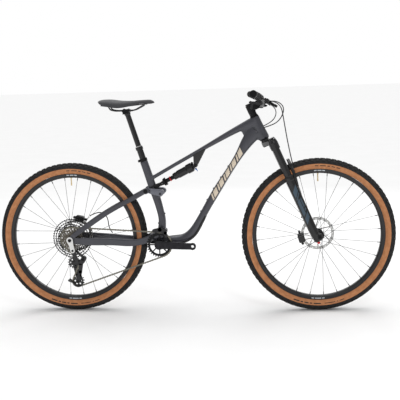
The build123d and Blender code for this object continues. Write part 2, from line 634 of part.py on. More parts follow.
def tangent(c1, r1, s1, c2, r2, s2):
    """Where a belt leaves one wheel and meets the next. s is 1 for clockwise, -1 for the other way."""
    dx = c2[0] - c1[0]
    dz = c2[1] - c1[1]
    gap = hypot(dx, dz)
    heading = atan2(dz, dx) + asin((s2 * r2 - s1 * r1) / gap)
    left = (-sin(heading), cos(heading))
    start = (c1[0] + s1 * r1 * left[0], c1[1] + s1 * r1 * left[1])
    end = (c2[0] + s2 * r2 * left[0], c2[1] + s2 * r2 * left[1])
    return start, end


def chain_wheels(cage_angle):
    """The chain's four wheels in the order that it meets them, on its way round clockwise."""
    lower = (GUIDE_WHEEL[0] + CAGE_LENGTH * sin(cage_angle), GUIDE_WHEEL[1] - CAGE_LENGTH * cos(cage_angle))
    return [(REAR_AXLE, COG_R, 1), (BB, RING_R, 1), (lower, JOCKEY_R, 1), (GUIDE_WHEEL, JOCKEY_R, -1)]


def chain_path(cage_angle):
    """Straight runs and arcs, as (kind, length, data), beginning where the chain leaves the cog."""
    wheels = chain_wheels(cage_angle)
    runs = []
    for i, wheel in enumerate(wheels):
        runs.append(tangent(*wheel, *wheels[(i + 1) % 4]))
    pieces = []
    for i, run in enumerate(runs):
        length = hypot(run[1][0] - run[0][0], run[1][1] - run[0][1])
        pieces.append(("line", length, run))
        centre, radius, sense = wheels[(i + 1) % 4]
        begin = atan2(run[1][1] - centre[1], run[1][0] - centre[0])
        leave = runs[(i + 1) % 4][0]
        finish = atan2(leave[1] - centre[1], leave[0] - centre[0])
        sweep_angle = (sense * (begin - finish)) % (2 * pi)
        pieces.append(("arc", radius * sweep_angle, (centre, radius, sense, begin)))
    return pieces


def chain_length(cage_angle):
    return sum(piece[1] for piece in chain_path(cage_angle))


def solve_cage():
    """The cage angle at which the chain closes on a whole number of links. A larger angle slackens it."""
    wanted = CHAIN_LINKS * CHAIN_PITCH
    low = radians(-35)
    high = radians(60)
    for _ in range(60):
        middle = (low + high) / 2
        if chain_length(middle) > wanted:
            low = middle
        else:
            high = middle
    return (low + high) / 2


def chain_point(pieces, distance):
    """The point at a distance along the path, and the heading there."""
    for kind, length, data in pieces:
        if distance <= length:
            if kind == "line":
                (x0, z0), (x1, z1) = data
                t = distance / length
                return (x0 + (x1 - x0) * t, z0 + (z1 - z0) * t), atan2(z1 - z0, x1 - x0)
            centre, radius, sense, begin = data
            angle = begin - sense * distance / radius
            return (centre[0] + radius * cos(angle), centre[1] + radius * sin(angle)), angle - sense * pi / 2
        distance -= length
    return chain_point(pieces, 0.0)


def roller_phase(pieces, centre):
    """The angle of one roller on the wheel at this centre."""
    distance = 0.0
    total = sum(p[1] for p in pieces)
    while distance < total:
        (x, z), _ = chain_point(pieces, distance)
        for kind, _, data in pieces:
            if kind == "arc" and data[0] == centre:
                if abs(hypot(x - centre[0], z - centre[1]) - data[1]) < 1e-6 and on_arc(pieces, distance, centre):
                    return atan2(z - centre[1], x - centre[0])
        distance += CHAIN_PITCH
    return 0.0


def on_arc(pieces, distance, centre):
    for kind, length, data in pieces:
        if distance <= length:
            return kind == "arc" and data[0] == centre
        distance -= length
    return False


CAGE_ANGLE = solve_cage()
CHAIN = chain_path(CAGE_ANGLE)
TENSION_WHEEL = chain_wheels(CAGE_ANGLE)[2][0]


def chain():
    """Two bands of side plates and the rollers between them, one roller per link."""
    edges = []
    for kind, length, data in CHAIN:
        if kind == "line":
            a = world(*data[0], CHAIN_Y)
            b = world(*data[1], CHAIN_Y)
            edges.append(Line(a, b).edge())
        else:
            centre, radius, sense, begin = data
            points = []
            for share in (0.0, 0.5, 1.0):
                angle = begin - sense * share * length / radius
                points.append(world(centre[0] + radius * cos(angle), centre[1] + radius * sin(angle), CHAIN_Y))
            edges.append(ThreePointArc(*points).edge())
    path = Wire(edges)
    solids = []
    start = edges[0]
    for side in (-1, 1):
        shift = side * (CHAIN_GAP + CHAIN_PLATE / 2)
        offset = Location((0, shift, 0))
        band = offset * path
        heading = start % 0
        section = Plane(origin=(start @ 0) + Vector(0, shift, 0), x_dir=(0, 1, 0), z_dir=heading)
        solids.append(sweep(section * Rectangle(CHAIN_PLATE, 8.0), path=band))
    for i in range(CHAIN_LINKS):
        (x, z), _ = chain_point(CHAIN, i * CHAIN_PITCH)
        px, pz = shifted((x, z))
        solids.append(across(px, pz, ROLLER_R, CHAIN_Y - CHAIN_GAP, CHAIN_Y + CHAIN_GAP))
    return group(solids)


def cassette():
    """Twelve cogs on the freehub driver."""
    ax, az = shifted(REAR_AXLE)
    solids = []
    for i, teeth in enumerate(COG_TEETH):
        y = CHAIN_Y - (DRIVEN_COG - i) * COG_SPACING
        pitch_r = teeth * CHAIN_PITCH / (2 * pi)
        phase = roller_phase(CHAIN, REAR_AXLE) if i == DRIVEN_COG else 0.0
        bore = 10.0 if i < 4 else 17.0
        cog = sprocket(teeth, TOOTH_T, bore, phase)
        if pitch_r > 40:
            windows = []
            for k in range(12):
                r = (17 + pitch_r) / 2
                size = min(0.22 * r, 0.5 * (pitch_r - 17) - 7)
                windows.append(Rot(0, 0, 30 * k) * Pos(r, 0) * Circle(size))
            cog -= plate(Sketch() + windows, -3, 3)
        solids.append(Pos(ax, y, az) * cog)
    cogs = [solid for shape in solids for solid in shape.solids()]
    first = CHAIN_Y - DRIVEN_COG * COG_SPACING
    last = CHAIN_Y + (11 - DRIVEN_COG) * COG_SPACING
    driver = Pos(ax, 0, az) * wheel_turned([
        (AXLE_R + RUN_FIT, -REAR_HUB_HALF + 0.3), (9.9, -REAR_HUB_HALF + 0.3), (9.9, first + 3.5 * COG_SPACING),
        (16.9, first + 3.5 * COG_SPACING), (16.9, last + 2.5), (AXLE_R + RUN_FIT, last + 2.5)])
    spacers = []
    for i in range(11):
        inner = 10.0 if i < 3 else 17.0
        y0 = first + i * COG_SPACING + TOOTH_T / 2 + SEAT_GAP
        y1 = y0 + COG_SPACING - TOOTH_T - 2 * SEAT_GAP
        outer = 13.0 if i < 3 else 22.0
        spacers.append(Pos(ax, 0, az) * wheel_turned([(inner, y0), (outer, y0), (outer, y1), (inner, y1)]))
    return group(cogs + [driver] + spacers)


def chainring():
    """A narrow-wide ring on eight arms, direct on the right crank."""
    x, z = shifted(BB)
    phase = roller_phase(CHAIN, BB)
    teeth = sprocket(RING_TEETH, 2.0, 46, phase)
    centre = Circle(25) - Circle(SPINDLE_R + SEAT_GAP)
    arms = Sketch()
    for i in range(8):
        arms += Rot(0, 0, 45 * i) * Pos(36, 0) * Rectangle(26, 6)
    web = plate(centre + arms, -1.5, 1.5)
    return Pos(x, CHAIN_Y, z) * (teeth + web)


ARM_ROOT = 50.0             # the arm's inner face at the spindle
ARM_TIP = 70.0              # and at the pedal
ARM_THICK = 14.0


def crank_arm(side, heading):
    """One arm at the origin, heading in degrees. Its inner face moves out towards the pedal."""
    sections = []
    for s, y, deep, thick in ((0, ARM_ROOT, 40, ARM_THICK + 2), (0.3, ARM_ROOT + 4, 37, ARM_THICK),
                              (0.7, ARM_TIP - 4, 33, ARM_THICK - 1), (1, ARM_TIP, 31, ARM_THICK - 1)):
        plane = Plane(origin=(s * CRANK_LENGTH, -(y + thick / 2), 0), x_dir=(0, 1, 0), z_dir=(1, 0, 0))
        sections.append(plane * RectangleRounded(thick, deep, 5))
    arm = loft(sections)
    arm += plate(Circle(22), -ARM_ROOT, -ARM_ROOT - ARM_THICK - 2)
    arm += plate(disc(CRANK_LENGTH, 0, 16.5), -ARM_TIP, -ARM_TIP - ARM_THICK + 1)
    arm -= plate(disc(CRANK_LENGTH, 0, PEDAL_HOLE_R), -ARM_TIP + 10, -ARM_TIP - 40)
    if side > 0:
        arm = mirrored(arm)
    return Rot(0, -heading, 0) * arm


def crank_arms():
    """The right arm with its spindle, and the left arm clamped on the spindle."""
    x, z = shifted(BB)
    right = crank_arm(-1, CRANK_ANGLE)
    left = crank_arm(1, CRANK_ANGLE + 180)
    end = ARM_ROOT + ARM_THICK
    spindle = plate(Circle(SPINDLE_R) - Circle(SPINDLE_R - 3), -ARM_ROOT - 4, end)
    left -= plate(Circle(SPINDLE_R + SEAT_GAP), 0, end)
    return group([Pos(x, 0, z) * (right + spindle), Pos(x, 0, z) * left])


CAGE_NEAR = 8.6             # half the space between the cage's inner faces
LINK_TOP = (12.0, 318.0)
LINK_PIVOT = (56.0, 268.0)


def jockey_wheel(centre):
    x, z = shifted(centre)
    wheel = sprocket(JOCKEY_TEETH, 2.0, 4.05, roller_phase(CHAIN, centre))
    wheel += plate(Circle(9) - Circle(4.05), -3.4, 3.4)
    holes = [Rot(0, 0, 60 * i) * Pos(16.5, 0) * Circle(4.2) for i in range(6)]
    wheel -= plate(Sketch() + holes, -5, 5)
    return Pos(x, CHAIN_Y, z) * wheel


def derailleur_mount():
    """The mount that clamps round the axle outside the right dropout and carries the link's pivot."""
    ax, az = shifted(REAR_AXLE)
    px, pz = shifted(LINK_TOP)
    body = plate(hull((ax, az, 16), (ax + 6, az - 22, 11)), -MOUNT_OUT, -MOUNT_IN)
    body += plate(hull((ax + 6, az - 22, 11), (px, pz, 11)), -MOUNT_OUT, -MOUNT_IN)
    body -= across(ax, az, AXLE_R + SEAT_GAP, -120, -60)
    pin = across(px, pz, PIN_R, -MOUNT_OUT, -MOUNT_IN + 17)
    return body + pin


def derailleur_linkage():
    """The parallelogram's block, from the mount down to the knuckle that carries the cage."""
    tx, tz = shifted(LINK_TOP)
    kx, kz = shifted(LINK_PIVOT)
    gx, gz = shifted(GUIDE_WHEEL)
    outer = CHAIN_Y - CAGE_NEAR - 4
    body = plate(hull((tx, tz, 12), (kx, kz, 15)), -MOUNT_IN + FACE_GAP, outer - 4)
    body += plate(hull((kx, kz, 14), (gx, gz, 12)), -MOUNT_IN + FACE_GAP, outer - 4)
    body -= across(tx, tz, PIN_R + RUN_FIT, -120, 0)
    pin = across(gx, gz, PIN_R, outer - 4, CHAIN_Y + CAGE_NEAR + 3)
    return body + pin


def derailleur_cage():
    """Two plates either side of the jockey wheels, joined by the lower wheel's bolt."""
    ux, uz = shifted(GUIDE_WHEEL)
    lx, lz = shifted(TENSION_WHEEL)
    shape = hull((ux, uz, 15), (lx, lz, 13))
    outer = plate(shape, CHAIN_Y - CAGE_NEAR - 3, CHAIN_Y - CAGE_NEAR)
    inner = plate(shape, CHAIN_Y + CAGE_NEAR, CHAIN_Y + CAGE_NEAR + 2)
    window = hull(*[(ux + (lx - ux) * share, uz + (lz - uz) * share, 6) for share in (0.36, 0.64)])
    bolt = across(lx, lz, 4.0, CHAIN_Y - CAGE_NEAR - 4, CHAIN_Y + CAGE_NEAR + 3)
    plates = outer + inner - plate(window, CHAIN_Y - 30, CHAIN_Y + 30)
    plates -= across(ux, uz, PIN_R + RUN_FIT, CHAIN_Y - 40, CHAIN_Y + 40)
    return plates + bolt


# ---- steering assembly, in the steering axes --------------------------------------------------------
LEG_Y = 66.0
LEG_AHEAD = 28.0
CROWN_LOW = 464.0
CROWN_HIGH = 515.0
LOWERS_HIGH = 316.0
LEG_BORE_LOW = 40.0         # the lowers are bored down to here
STANCHION_LOW = LEG_BORE_LOW + FORK_TRAVEL + 5
ARCH_AHEAD = 32.5           # the arch clears the crown's sockets at full travel


def fork_upper():
    """Steerer, crown and both stanchions."""
    steerer = turned([(0, 490), (20, 490), (20, HEAD_LOW - 12), (STEERER_R + 4.5, HEAD_LOW - 4),
                      (STEERER_R, HEAD_LOW + 22), (STEERER_R, STEM_UP + 22), (11, STEM_UP + 22), (11, 520), (0, 520)])
    crown = steerer
    for side in (-1, 1):
        socket = turned([(0, CROWN_LOW), (22, CROWN_LOW), (22.5, 496), (20, 508), (0, 508)])
        crown += Pos(LEG_AHEAD, side * LEG_Y, 0) * socket
        arm = Plane(origin=(0, 0, 494), z_dir=(0, 0, 1)) * hull((0, 0, 22), (LEG_AHEAD, side * LEG_Y, 19))
        crown += extrude(arm, amount=CROWN_HIGH - 494 - 2)
        stanchion = turned([(0, STANCHION_LOW), (STANCHION_R, STANCHION_LOW), (STANCHION_R, CROWN_LOW + 4),
                            (0, CROWN_LOW + 4)])
        crown += Pos(LEG_AHEAD, side * LEG_Y, 0) * stanchion
    return STEERED * crown


def fork_lowers():
    """Both lower legs with their dropouts, and the arch in front of the tyre's top."""
    legs = []
    for side in (-1, 1):
        leg = turned([(0, -18), (13, -18), (17, -8), (20, 20), (21, 60), (21, 200), (21.5, 300), (23, 304),
                      (23, LOWERS_HIGH), (0, LOWERS_HIGH)])
        leg = Pos(LEG_AHEAD, side * LEG_Y, 0) * leg
        drop = Plane(origin=(0, 0, 0), x_dir=(1, 0, 0), z_dir=(0, -1, 0))
        lobe = extrude(drop * hull((LEG_AHEAD, 0, 15), (FORK_OFFSET, 0, 16)), amount=12, both=True)
        leg += Pos(0, side * (FRONT_HUB_HALF + FACE_GAP + 12), 0) * lobe
        legs.append(leg)
    half = [(LEG_AHEAD + 19, LEG_Y, 262), (LEG_AHEAD + 30, LEG_Y - 1, 322),
            (LEG_AHEAD + ARCH_AHEAD, LEG_Y - 16, 368), (LEG_AHEAD + ARCH_AHEAD, 20, 389)]
    span = half + [(n, -y, up) for n, y, up in reversed(half)]
    path, _ = rounded_route(span)
    start = Plane(origin=span[0], z_dir=Vector(*span[1]) - Vector(*span[0]))
    arch = sweep(start * RectangleRounded(15, 11, 4), path=path)
    body = legs[0] + legs[1] + arch
    depth = LOWERS_HIGH + 14 - LEG_BORE_LOW
    for side in (-1, 1):
        body -= Pos(LEG_AHEAD, side * LEG_Y, LEG_BORE_LOW + depth / 2) * Cylinder(STANCHION_R + RUN_FIT, depth)
        inboard = side * (FRONT_HUB_HALF + FACE_GAP - 15)
        body -= Pos(LEG_AHEAD, inboard, -2) * Box(90, 30, 64)
    body -= Pos(FORK_OFFSET, 0, 0) * Rot(90, 0, 0) * Cylinder(FRONT_AXLE_R + SEAT_GAP, 240)
    for side in (-1, 1):
        body -= Pos(FORK_OFFSET, side * (FRONT_HUB_HALF + 24.4 + 10), 0) * Rot(90, 0, 0) * Cylinder(11, 20)
    body -= Pos(FORK_OFFSET, 0, 0) * Rot(90, 0, 0) * Cylinder(WHEEL_RADIUS + 6, 2 * (TYRE_RADIUS + 4))
    return STEERED * body


def front_axle():
    shaft = Pos(0, -1, 0) * Rot(90, 0, 0) * Cylinder(FRONT_AXLE_R, 2 * (FRONT_HUB_HALF + 24))
    head = Pos(0, -(FRONT_HUB_HALF + 26.5), 0) * Rot(90, 0, 0) * Cylinder(9.5, 4)
    socket = Pos(0, -(FRONT_HUB_HALF + 26), 0) * Rot(90, 0, 0) * Cylinder(3, 12)
    return STEERED * Pos(FORK_OFFSET, 0, 0) * (shaft + head - socket)


def front_caliper():
    """The caliper behind the left leg, over the front rotor's rear edge."""
    return STEERED * caliper_on((FORK_OFFSET, 0), FRONT_ROTOR_Y, 172)


def knob(radius, height):
    """A small knurled knob."""
    body = Cylinder(radius, height)
    for i in range(12):
        body -= Rot(0, 0, 30 * i) * Pos(radius + 0.5, 0, 0) * Cylinder(0.9, height + 1)
    return body


def damper_knob():
    return STEERED * Pos(LEG_AHEAD, -LEG_Y, CROWN_HIGH - 2 + 3 + FACE_GAP) * knob(9.5, 6)


def rebound_knob():
    return STEERED * Pos(LEG_AHEAD, -LEG_Y, -18 - 5 - FACE_GAP) * knob(7, 10)


def headset_spacers():
    """A cone, two spacers and the cap on top of the stem."""
    foot = HEAD_HIGH + 3 + FACE_GAP
    cone = turned([(STEERER_R + RUN_FIT, foot), (20, foot), (17.5, HEAD_HIGH + 10),
                   (STEERER_R + RUN_FIT, HEAD_HIGH + 10)])
    spacer = turned([(STEERER_R + RUN_FIT, HEAD_HIGH + 10.2), (17.5, HEAD_HIGH + 10.2), (17.5, STEM_UP - 20.2),
                     (STEERER_R + RUN_FIT, STEM_UP - 20.2)])
    cap = turned([(0, STEM_UP + 22.2), (17, STEM_UP + 22.2), (16, STEM_UP + 26), (0, STEM_UP + 26)])
    return group([STEERED * cone, STEERED * spacer, STEERED * cap])


def stem():
    """The stem, its faceplate and the bolts of both."""
    collar = Pos(0, 0, STEM_UP) * Cylinder(18.5, 40)
    bridge = Pos(STEM_LENGTH / 2, 0, STEM_UP) * Box(STEM_LENGTH, 34, 28)
    clamp = Pos(STEM_LENGTH, 0, STEM_UP) * Rot(90, 0, 0) * Cylinder(20.5, 44)
    body = collar + bridge + clamp
    body -= Pos(0, 0, STEM_UP) * Cylinder(STEERER_R + SEAT_GAP, 60)
    bore = Pos(STEM_LENGTH, 0, STEM_UP) * Rot(90, 0, 0) * Cylinder(BAR_CLAMP_R + SEAT_GAP, 80)
    body -= bore
    split = Pos(STEM_LENGTH + 1.5 + 30, 0, STEM_UP) * Box(60, 80, 80)
    front = Pos(STEM_LENGTH + 4.5 + 30, 0, STEM_UP) * Box(60, 80, 80)
    faceplate = (clamp - bore) & front
    body -= split
    bolts = []
    for side in (-1, 1):
        for up in (-1, 1):
            where = Pos(STEM_LENGTH + 15, side * 15, STEM_UP + up * 18) * Rot(0, 90, 0)
            faceplate += where * Cylinder(4, 8)
            bolts.append(where * Pos(0, 0, 6.1) * Cylinder(3.2, 4))
    return group([STEERED * body, STEERED * faceplate] + [STEERED * b for b in bolts])


# The bar's route from its middle: out, up, then back and up to the end.
BAR_HALF = BAR_WIDTH / 2
BAR_STRAIGHT = 72.0
BAR_KNEE = (0.0, 130.0, 25.0)
BAR_SWEEP = 10.0
BAR_UPSWEEP = 5.0


def on_bar(out, side):
    """A point on the bar's outer stretch, this far from the middle."""
    run = out - BAR_KNEE[1]
    return Vector(-run * tan(radians(BAR_SWEEP)), side * out, BAR_KNEE[2] + run * tan(radians(BAR_UPSWEEP)))


def handlebar():
    """The bar, bent at its knees, and the thick middle that the stem holds."""
    knee = Vector(0, BAR_KNEE[1], BAR_KNEE[2])
    points = [on_bar(BAR_HALF, -1), Vector(0, -BAR_KNEE[1], BAR_KNEE[2]), Vector(0, -BAR_STRAIGHT, 0),
              Vector(0, BAR_STRAIGHT, 0), knee, on_bar(BAR_HALF, 1)]
    path, _ = rounded_route([tuple(p) for p in points], 0.3)
    start = Plane(origin=points[0], z_dir=points[1] - points[0])
    bar = sweep(start * Circle(BAR_R), path=path)
    thin = BAR_R - 0.6
    middle = Rot(90, 0, 0) * turned([(0, -58), (thin, -58), (BAR_CLAMP_R, -38), (BAR_CLAMP_R, 38),
                                     (thin, 58), (0, 58)])
    return BARS * (bar + middle)


GRIP_IN = 248.0


def along_bar(shape, out, side):
    """Place a shape made along Z so that its origin and axis lie on the bar."""
    here = on_bar(out, side)
    ahead = on_bar(out + 10, side) - here
    return Plane(origin=here, x_dir=(1, 0, 0), z_dir=ahead).location * shape


def grips():
    """Lock-on grips: a rubber sleeve with a ring at each end and a plug."""
    length = (BAR_HALF - GRIP_IN) / cos(radians(BAR_SWEEP))
    profile = [(BAR_R + SEAT_GAP, 0), (17, 0), (17, 9), (15.2, 10), (15.2, length - 12), (16.6, length - 8),
               (16.6, length - 1), (BAR_R + SEAT_GAP, length - 1)]
    plug = [(0, length + 2.2), (0, length + 5), (15, length + 5), (16, length + 2.2)]
    solids = []
    for side in (-1, 1):
        solids.append(BARS * along_bar(turned(profile), GRIP_IN, side))
        solids.append(BARS * along_bar(turned(plug), GRIP_IN, side))
    return group(solids)


# Brake levers lie in a plane tipped forward and down from the bar.
LEVER_TIP_DOWN = 36.0
LEVER_PIVOT = (40.0, 226.0)
CLAMP_OUT = 206.0


def lever_plane():
    """Axes at the bar's middle: x ahead and down, y outboard."""
    return Location((0, 0, BAR_KNEE[2] + 6), (0, LEVER_TIP_DOWN, 0))


def brake_master_cylinders():
    """A clamp round the bar and a reservoir ahead of it, on each side."""
    solids = []
    for side in (-1, 1):
        ring = along_bar(Cylinder(BAR_R + 5, 13) - Cylinder(BAR_R + SEAT_GAP, 20), CLAMP_OUT, side)
        neck = Pos(-6, side * CLAMP_OUT, 0) * Pos(24, 0, 0) * Box(14, 12, 12)
        tank = Pos(24, side * (CLAMP_OUT - 12), 0) * Rot(90, 0, 0) * Cylinder(9, 62)
        lug = hull((24, side * (CLAMP_OUT + 12), 6), (LEVER_PIVOT[0], side * LEVER_PIVOT[1], 6.5))
        body = neck + tank
        for up in (-1, 1):
            body += extrude(Plane(origin=(0, 0, up * 6.2), z_dir=(0, 0, 1)) * lug, amount=2 * up)
        body = lever_plane() * body
        body += ring
        body -= along_bar(Cylinder(BAR_R + SEAT_GAP, 200), CLAMP_OUT, side)
        hole = lever_plane() * Pos(LEVER_PIVOT[0], side * LEVER_PIVOT[1], 0) * Cylinder(2.0, 40)
        solids.append(BARS * (body - hole))
        pin = lever_plane() * Pos(LEVER_PIVOT[0], side * LEVER_PIVOT[1], 0) * Cylinder(1.95, 17)
        solids.append(BARS * pin)
    return group(solids)


def brake_lever(side):
    """The lever blade, with its hooked tip."""
    px, py = LEVER_PIVOT
    corners = [(px, py, 6), (px + 22, py + 26, 5), (px + 26, py + 62, 4.5), (px + 21, py + 100, 4.5),
               (px + 27, py + 122, 4.5)]
    shape = Sketch()
    for a, b in zip(corners, corners[1:]):
        shape += hull((a[0], side * a[1], a[2]), (b[0], side * b[1], b[2]))
    blade = extrude(Plane(origin=(0, 0, 5.5), z_dir=(0, 0, 1)) * shape, amount=-11)
    blade -= Pos(px, side * py, 0) * Cylinder(1.95 + RUN_FIT, 40)
    return BARS * (lever_plane() * blade)


POD_OUT = 176.0
POD_PIVOT = (-16.0, -22.0)


def shifter_pod():
    """The right-hand shift unit on its clamp."""
    return pod(-1)


def dropper_remote():
    """The left-hand dropper remote on its clamp."""
    return pod(1)


def pod(side):
    here = on_bar(POD_OUT, side)
    ring = along_bar(Cylinder(BAR_R + 4.5, 11) - Cylinder(BAR_R + SEAT_GAP, 20), POD_OUT, side)
    case = Pos(here.X - 5, side * (POD_OUT + 2), here.Z - 24) * Box(22, 22, 20)
    case = fillet(case.edges().filter_by(Axis.Y), 4)
    stalk = Pos(here.X, side * POD_OUT, here.Z - 14.5) * Box(9, 9, 8)
    body = case + stalk + ring
    body -= along_bar(Cylinder(BAR_R + SEAT_GAP, 100), POD_OUT, side)
    axle = Pos(here.X + POD_PIVOT[0] + 8, side * (POD_OUT + 13), here.Z + POD_PIVOT[1] - 2) * Rot(90, 0, 0)
    body += axle * Cylinder(2.0, 16)
    return BARS * body


def thumb_paddle(side):
    """A thumb paddle that turns on the pod's outboard pin."""
    here = on_bar(POD_OUT, side)
    x = here.X + POD_PIVOT[0] + 8
    z = here.Z + POD_PIVOT[1] - 2
    shape = hull((x, z, 5), (x - 34, z + 2, 5)) + hull((x - 30, z + 4, 5), (x - 34, z - 22, 5))
    paddle = extrude(upright(side * (POD_OUT + 13 + FACE_GAP)) * shape, amount=-side * 7)
    paddle -= Pos(x, side * (POD_OUT + 15), z) * Rot(90, 0, 0) * Cylinder(2.0 + RUN_FIT, 40)
    return BARS * paddle


# ---- seat ------------------------------------------------------------------------------------------
RAIL_Y = 22.0
RAIL_R = 3.5


def dropper_stanchion():
    """The sliding tube with the lower half of the saddle clamp on its head."""
    tube_part = turned([(0, COLLAR_HIGH - 112), (POST_INNER_R, COLLAR_HIGH - 112), (POST_INNER_R, STANCHION_HIGH - 6),
                        (15.5, STANCHION_HIGH), (15.5, STANCHION_HIGH + 5), (0, STANCHION_HIGH + 5)])
    return SEAT_PLANE.location * tube_part


RAIL_LOW = 985.0            # height of the rails' middle run
RAIL_LINE = [(208, 1005.5), (216, RAIL_LOW + 6), (240, RAIL_LOW), (330, RAIL_LOW), (362, RAIL_LOW + 16),
             (376, 1008.5)]


def saddle_clamp():
    """The clamp's two halves round the rails, and its bolts."""
    x, z = shifted((290, RAIL_LOW))
    lower = Pos(x, 0, z - 3.6) * Box(34, 2 * RAIL_Y + 12, 6.4)
    lower += Pos(x, 0, z - 12) * Box(34, 26, 24)
    upper = Pos(x, 0, z + 3.4) * Box(30, 2 * RAIL_Y + 12, 6.0)
    for side in (-1, 1):
        groove = Pos(x, side * RAIL_Y, z) * Rot(0, 90, 0) * Cylinder(RAIL_R + SEAT_GAP, 60)
        lower -= groove
        upper -= groove
    lower -= SEAT_PLANE.location * (Pos(0, 0, STANCHION_HIGH + 5 + SEAT_GAP - 30) * Cylinder(40, 60))
    bolts = []
    for fore in (-1, 1):
        hole = Pos(x + fore * 11, 0, z) * Cylinder(2.6, 16)
        lower -= hole
        upper -= hole
        bolts.append(Pos(x + fore * 11, 0, z) * (Pos(0, 0, 2) * Cylinder(2.5, 10) + Pos(0, 0, 8) * Cylinder(4.5, 3)))
    return group([lower, upper] + bolts)


def saddle_station(x, low, high, width):
    """One section of the saddle across X."""
    plane = Plane(origin=world(x, (low + high) / 2), x_dir=(0, 1, 0), z_dir=(1, 0, 0))
    return plane * RectangleRounded(width, high - low, 0.45 * min(high - low, width))


SADDLE = [(158, 1022, 1036, 84), (176, 1015, 1040, 128), (206, 1011, 1041, 144), (250, 1007, 1036, 138),
          (292, 1008, 1032, 102), (335, 1012, 1033, 66), (392, 1016, 1034, 45), (425, 1014, 1027, 30)]


def saddle_pad():
    return loft([saddle_station(*s) for s in SADDLE])


def saddle_base():
    """The stiff shell under the pad, and the rails."""
    sections = []
    for x, low, high, width in SADDLE[1:-1]:
        plane = Plane(origin=world(x, low - 2.3), x_dir=(0, 1, 0), z_dir=(1, 0, 0))
        sections.append(plane * RectangleRounded(width - 24, 4, 1.6))
    shell = loft(sections)
    rails = []
    for side in (-1, 1):
        y = side * RAIL_Y
        points = [tuple(world(along, high, y)) for along, high in RAIL_LINE]
        path, _ = rounded_route(points)
        start = Plane(origin=points[0], z_dir=Vector(*points[1]) - Vector(*points[0]))
        rails.append(sweep(start * Circle(RAIL_R), path=path))
    return group([shell] + rails)


# ---- hoses and cable -------------------------------------------------------------------------------
def bars_point(x, y, z):
    """A point in the bars' axes, as a tuple in the bike's axes."""
    moved = (BARS * Location((x, y, z))).position
    return (moved.X, moved.Y, moved.Z)


HOSE_R = 2.5


def front_brake_hose():
    """From the left lever, round in front of the head tube, down to the caliper behind the left leg."""
    points = [bars_point(28, 162, 12), bars_point(50, 130, 12), bars_point(80, 90, 2), bars_point(98, 50, -20),
              bars_point(104, 22, -62), bars_point(112, 14, -116), bars_point(122, 18, -176),
              bars_point(134, 30, -236), bars_point(146, 44, -288), bars_point(158, 49, -336),
              bars_point(166, 48, -384), bars_point(184, 46, -430), bars_point(196, 44, -478),
              bars_point(196, 42, -522), bars_point(184, 41, -556)]
    return hose("front_brake_hose", points, HOSE_R)


def rear_brake_hose():
    """From the right lever to the head tube's port, and from the left chainstay to the rear caliper."""
    ahead = [bars_point(28, -162, 12), bars_point(52, -128, 14), bars_point(84, -86, 4), bars_point(104, -42, -18),
             bars_point(102, -8, -52), bars_point(76, -6, -88), bars_point(38, -16, -104), bars_point(4, -22, -112)]
    front = hose("rear_brake_hose front", ahead, HOSE_R)
    behind = [world(178, 374, 70), world(166, 388, 75), world(158, 412, 77), world(157, 440, 76),
              world(146, 466, 74), world(122, 480, 74), world(92, 474, 74), world(66, 462, 70)]
    tail = hose("rear_brake_hose tail", [tuple(p) for p in behind], HOSE_R)
    return group([front, tail])


def dropper_cable():
    """From the left remote to the head tube's port."""
    points = [bars_point(8, 158, 6), bars_point(36, 128, 0), bars_point(62, 92, -14), bars_point(74, 54, -38),
              bars_point(66, 28, -68), bars_point(40, 24, -92), bars_point(8, 25, -106)]
    return hose("dropper_cable", points, 2.2)


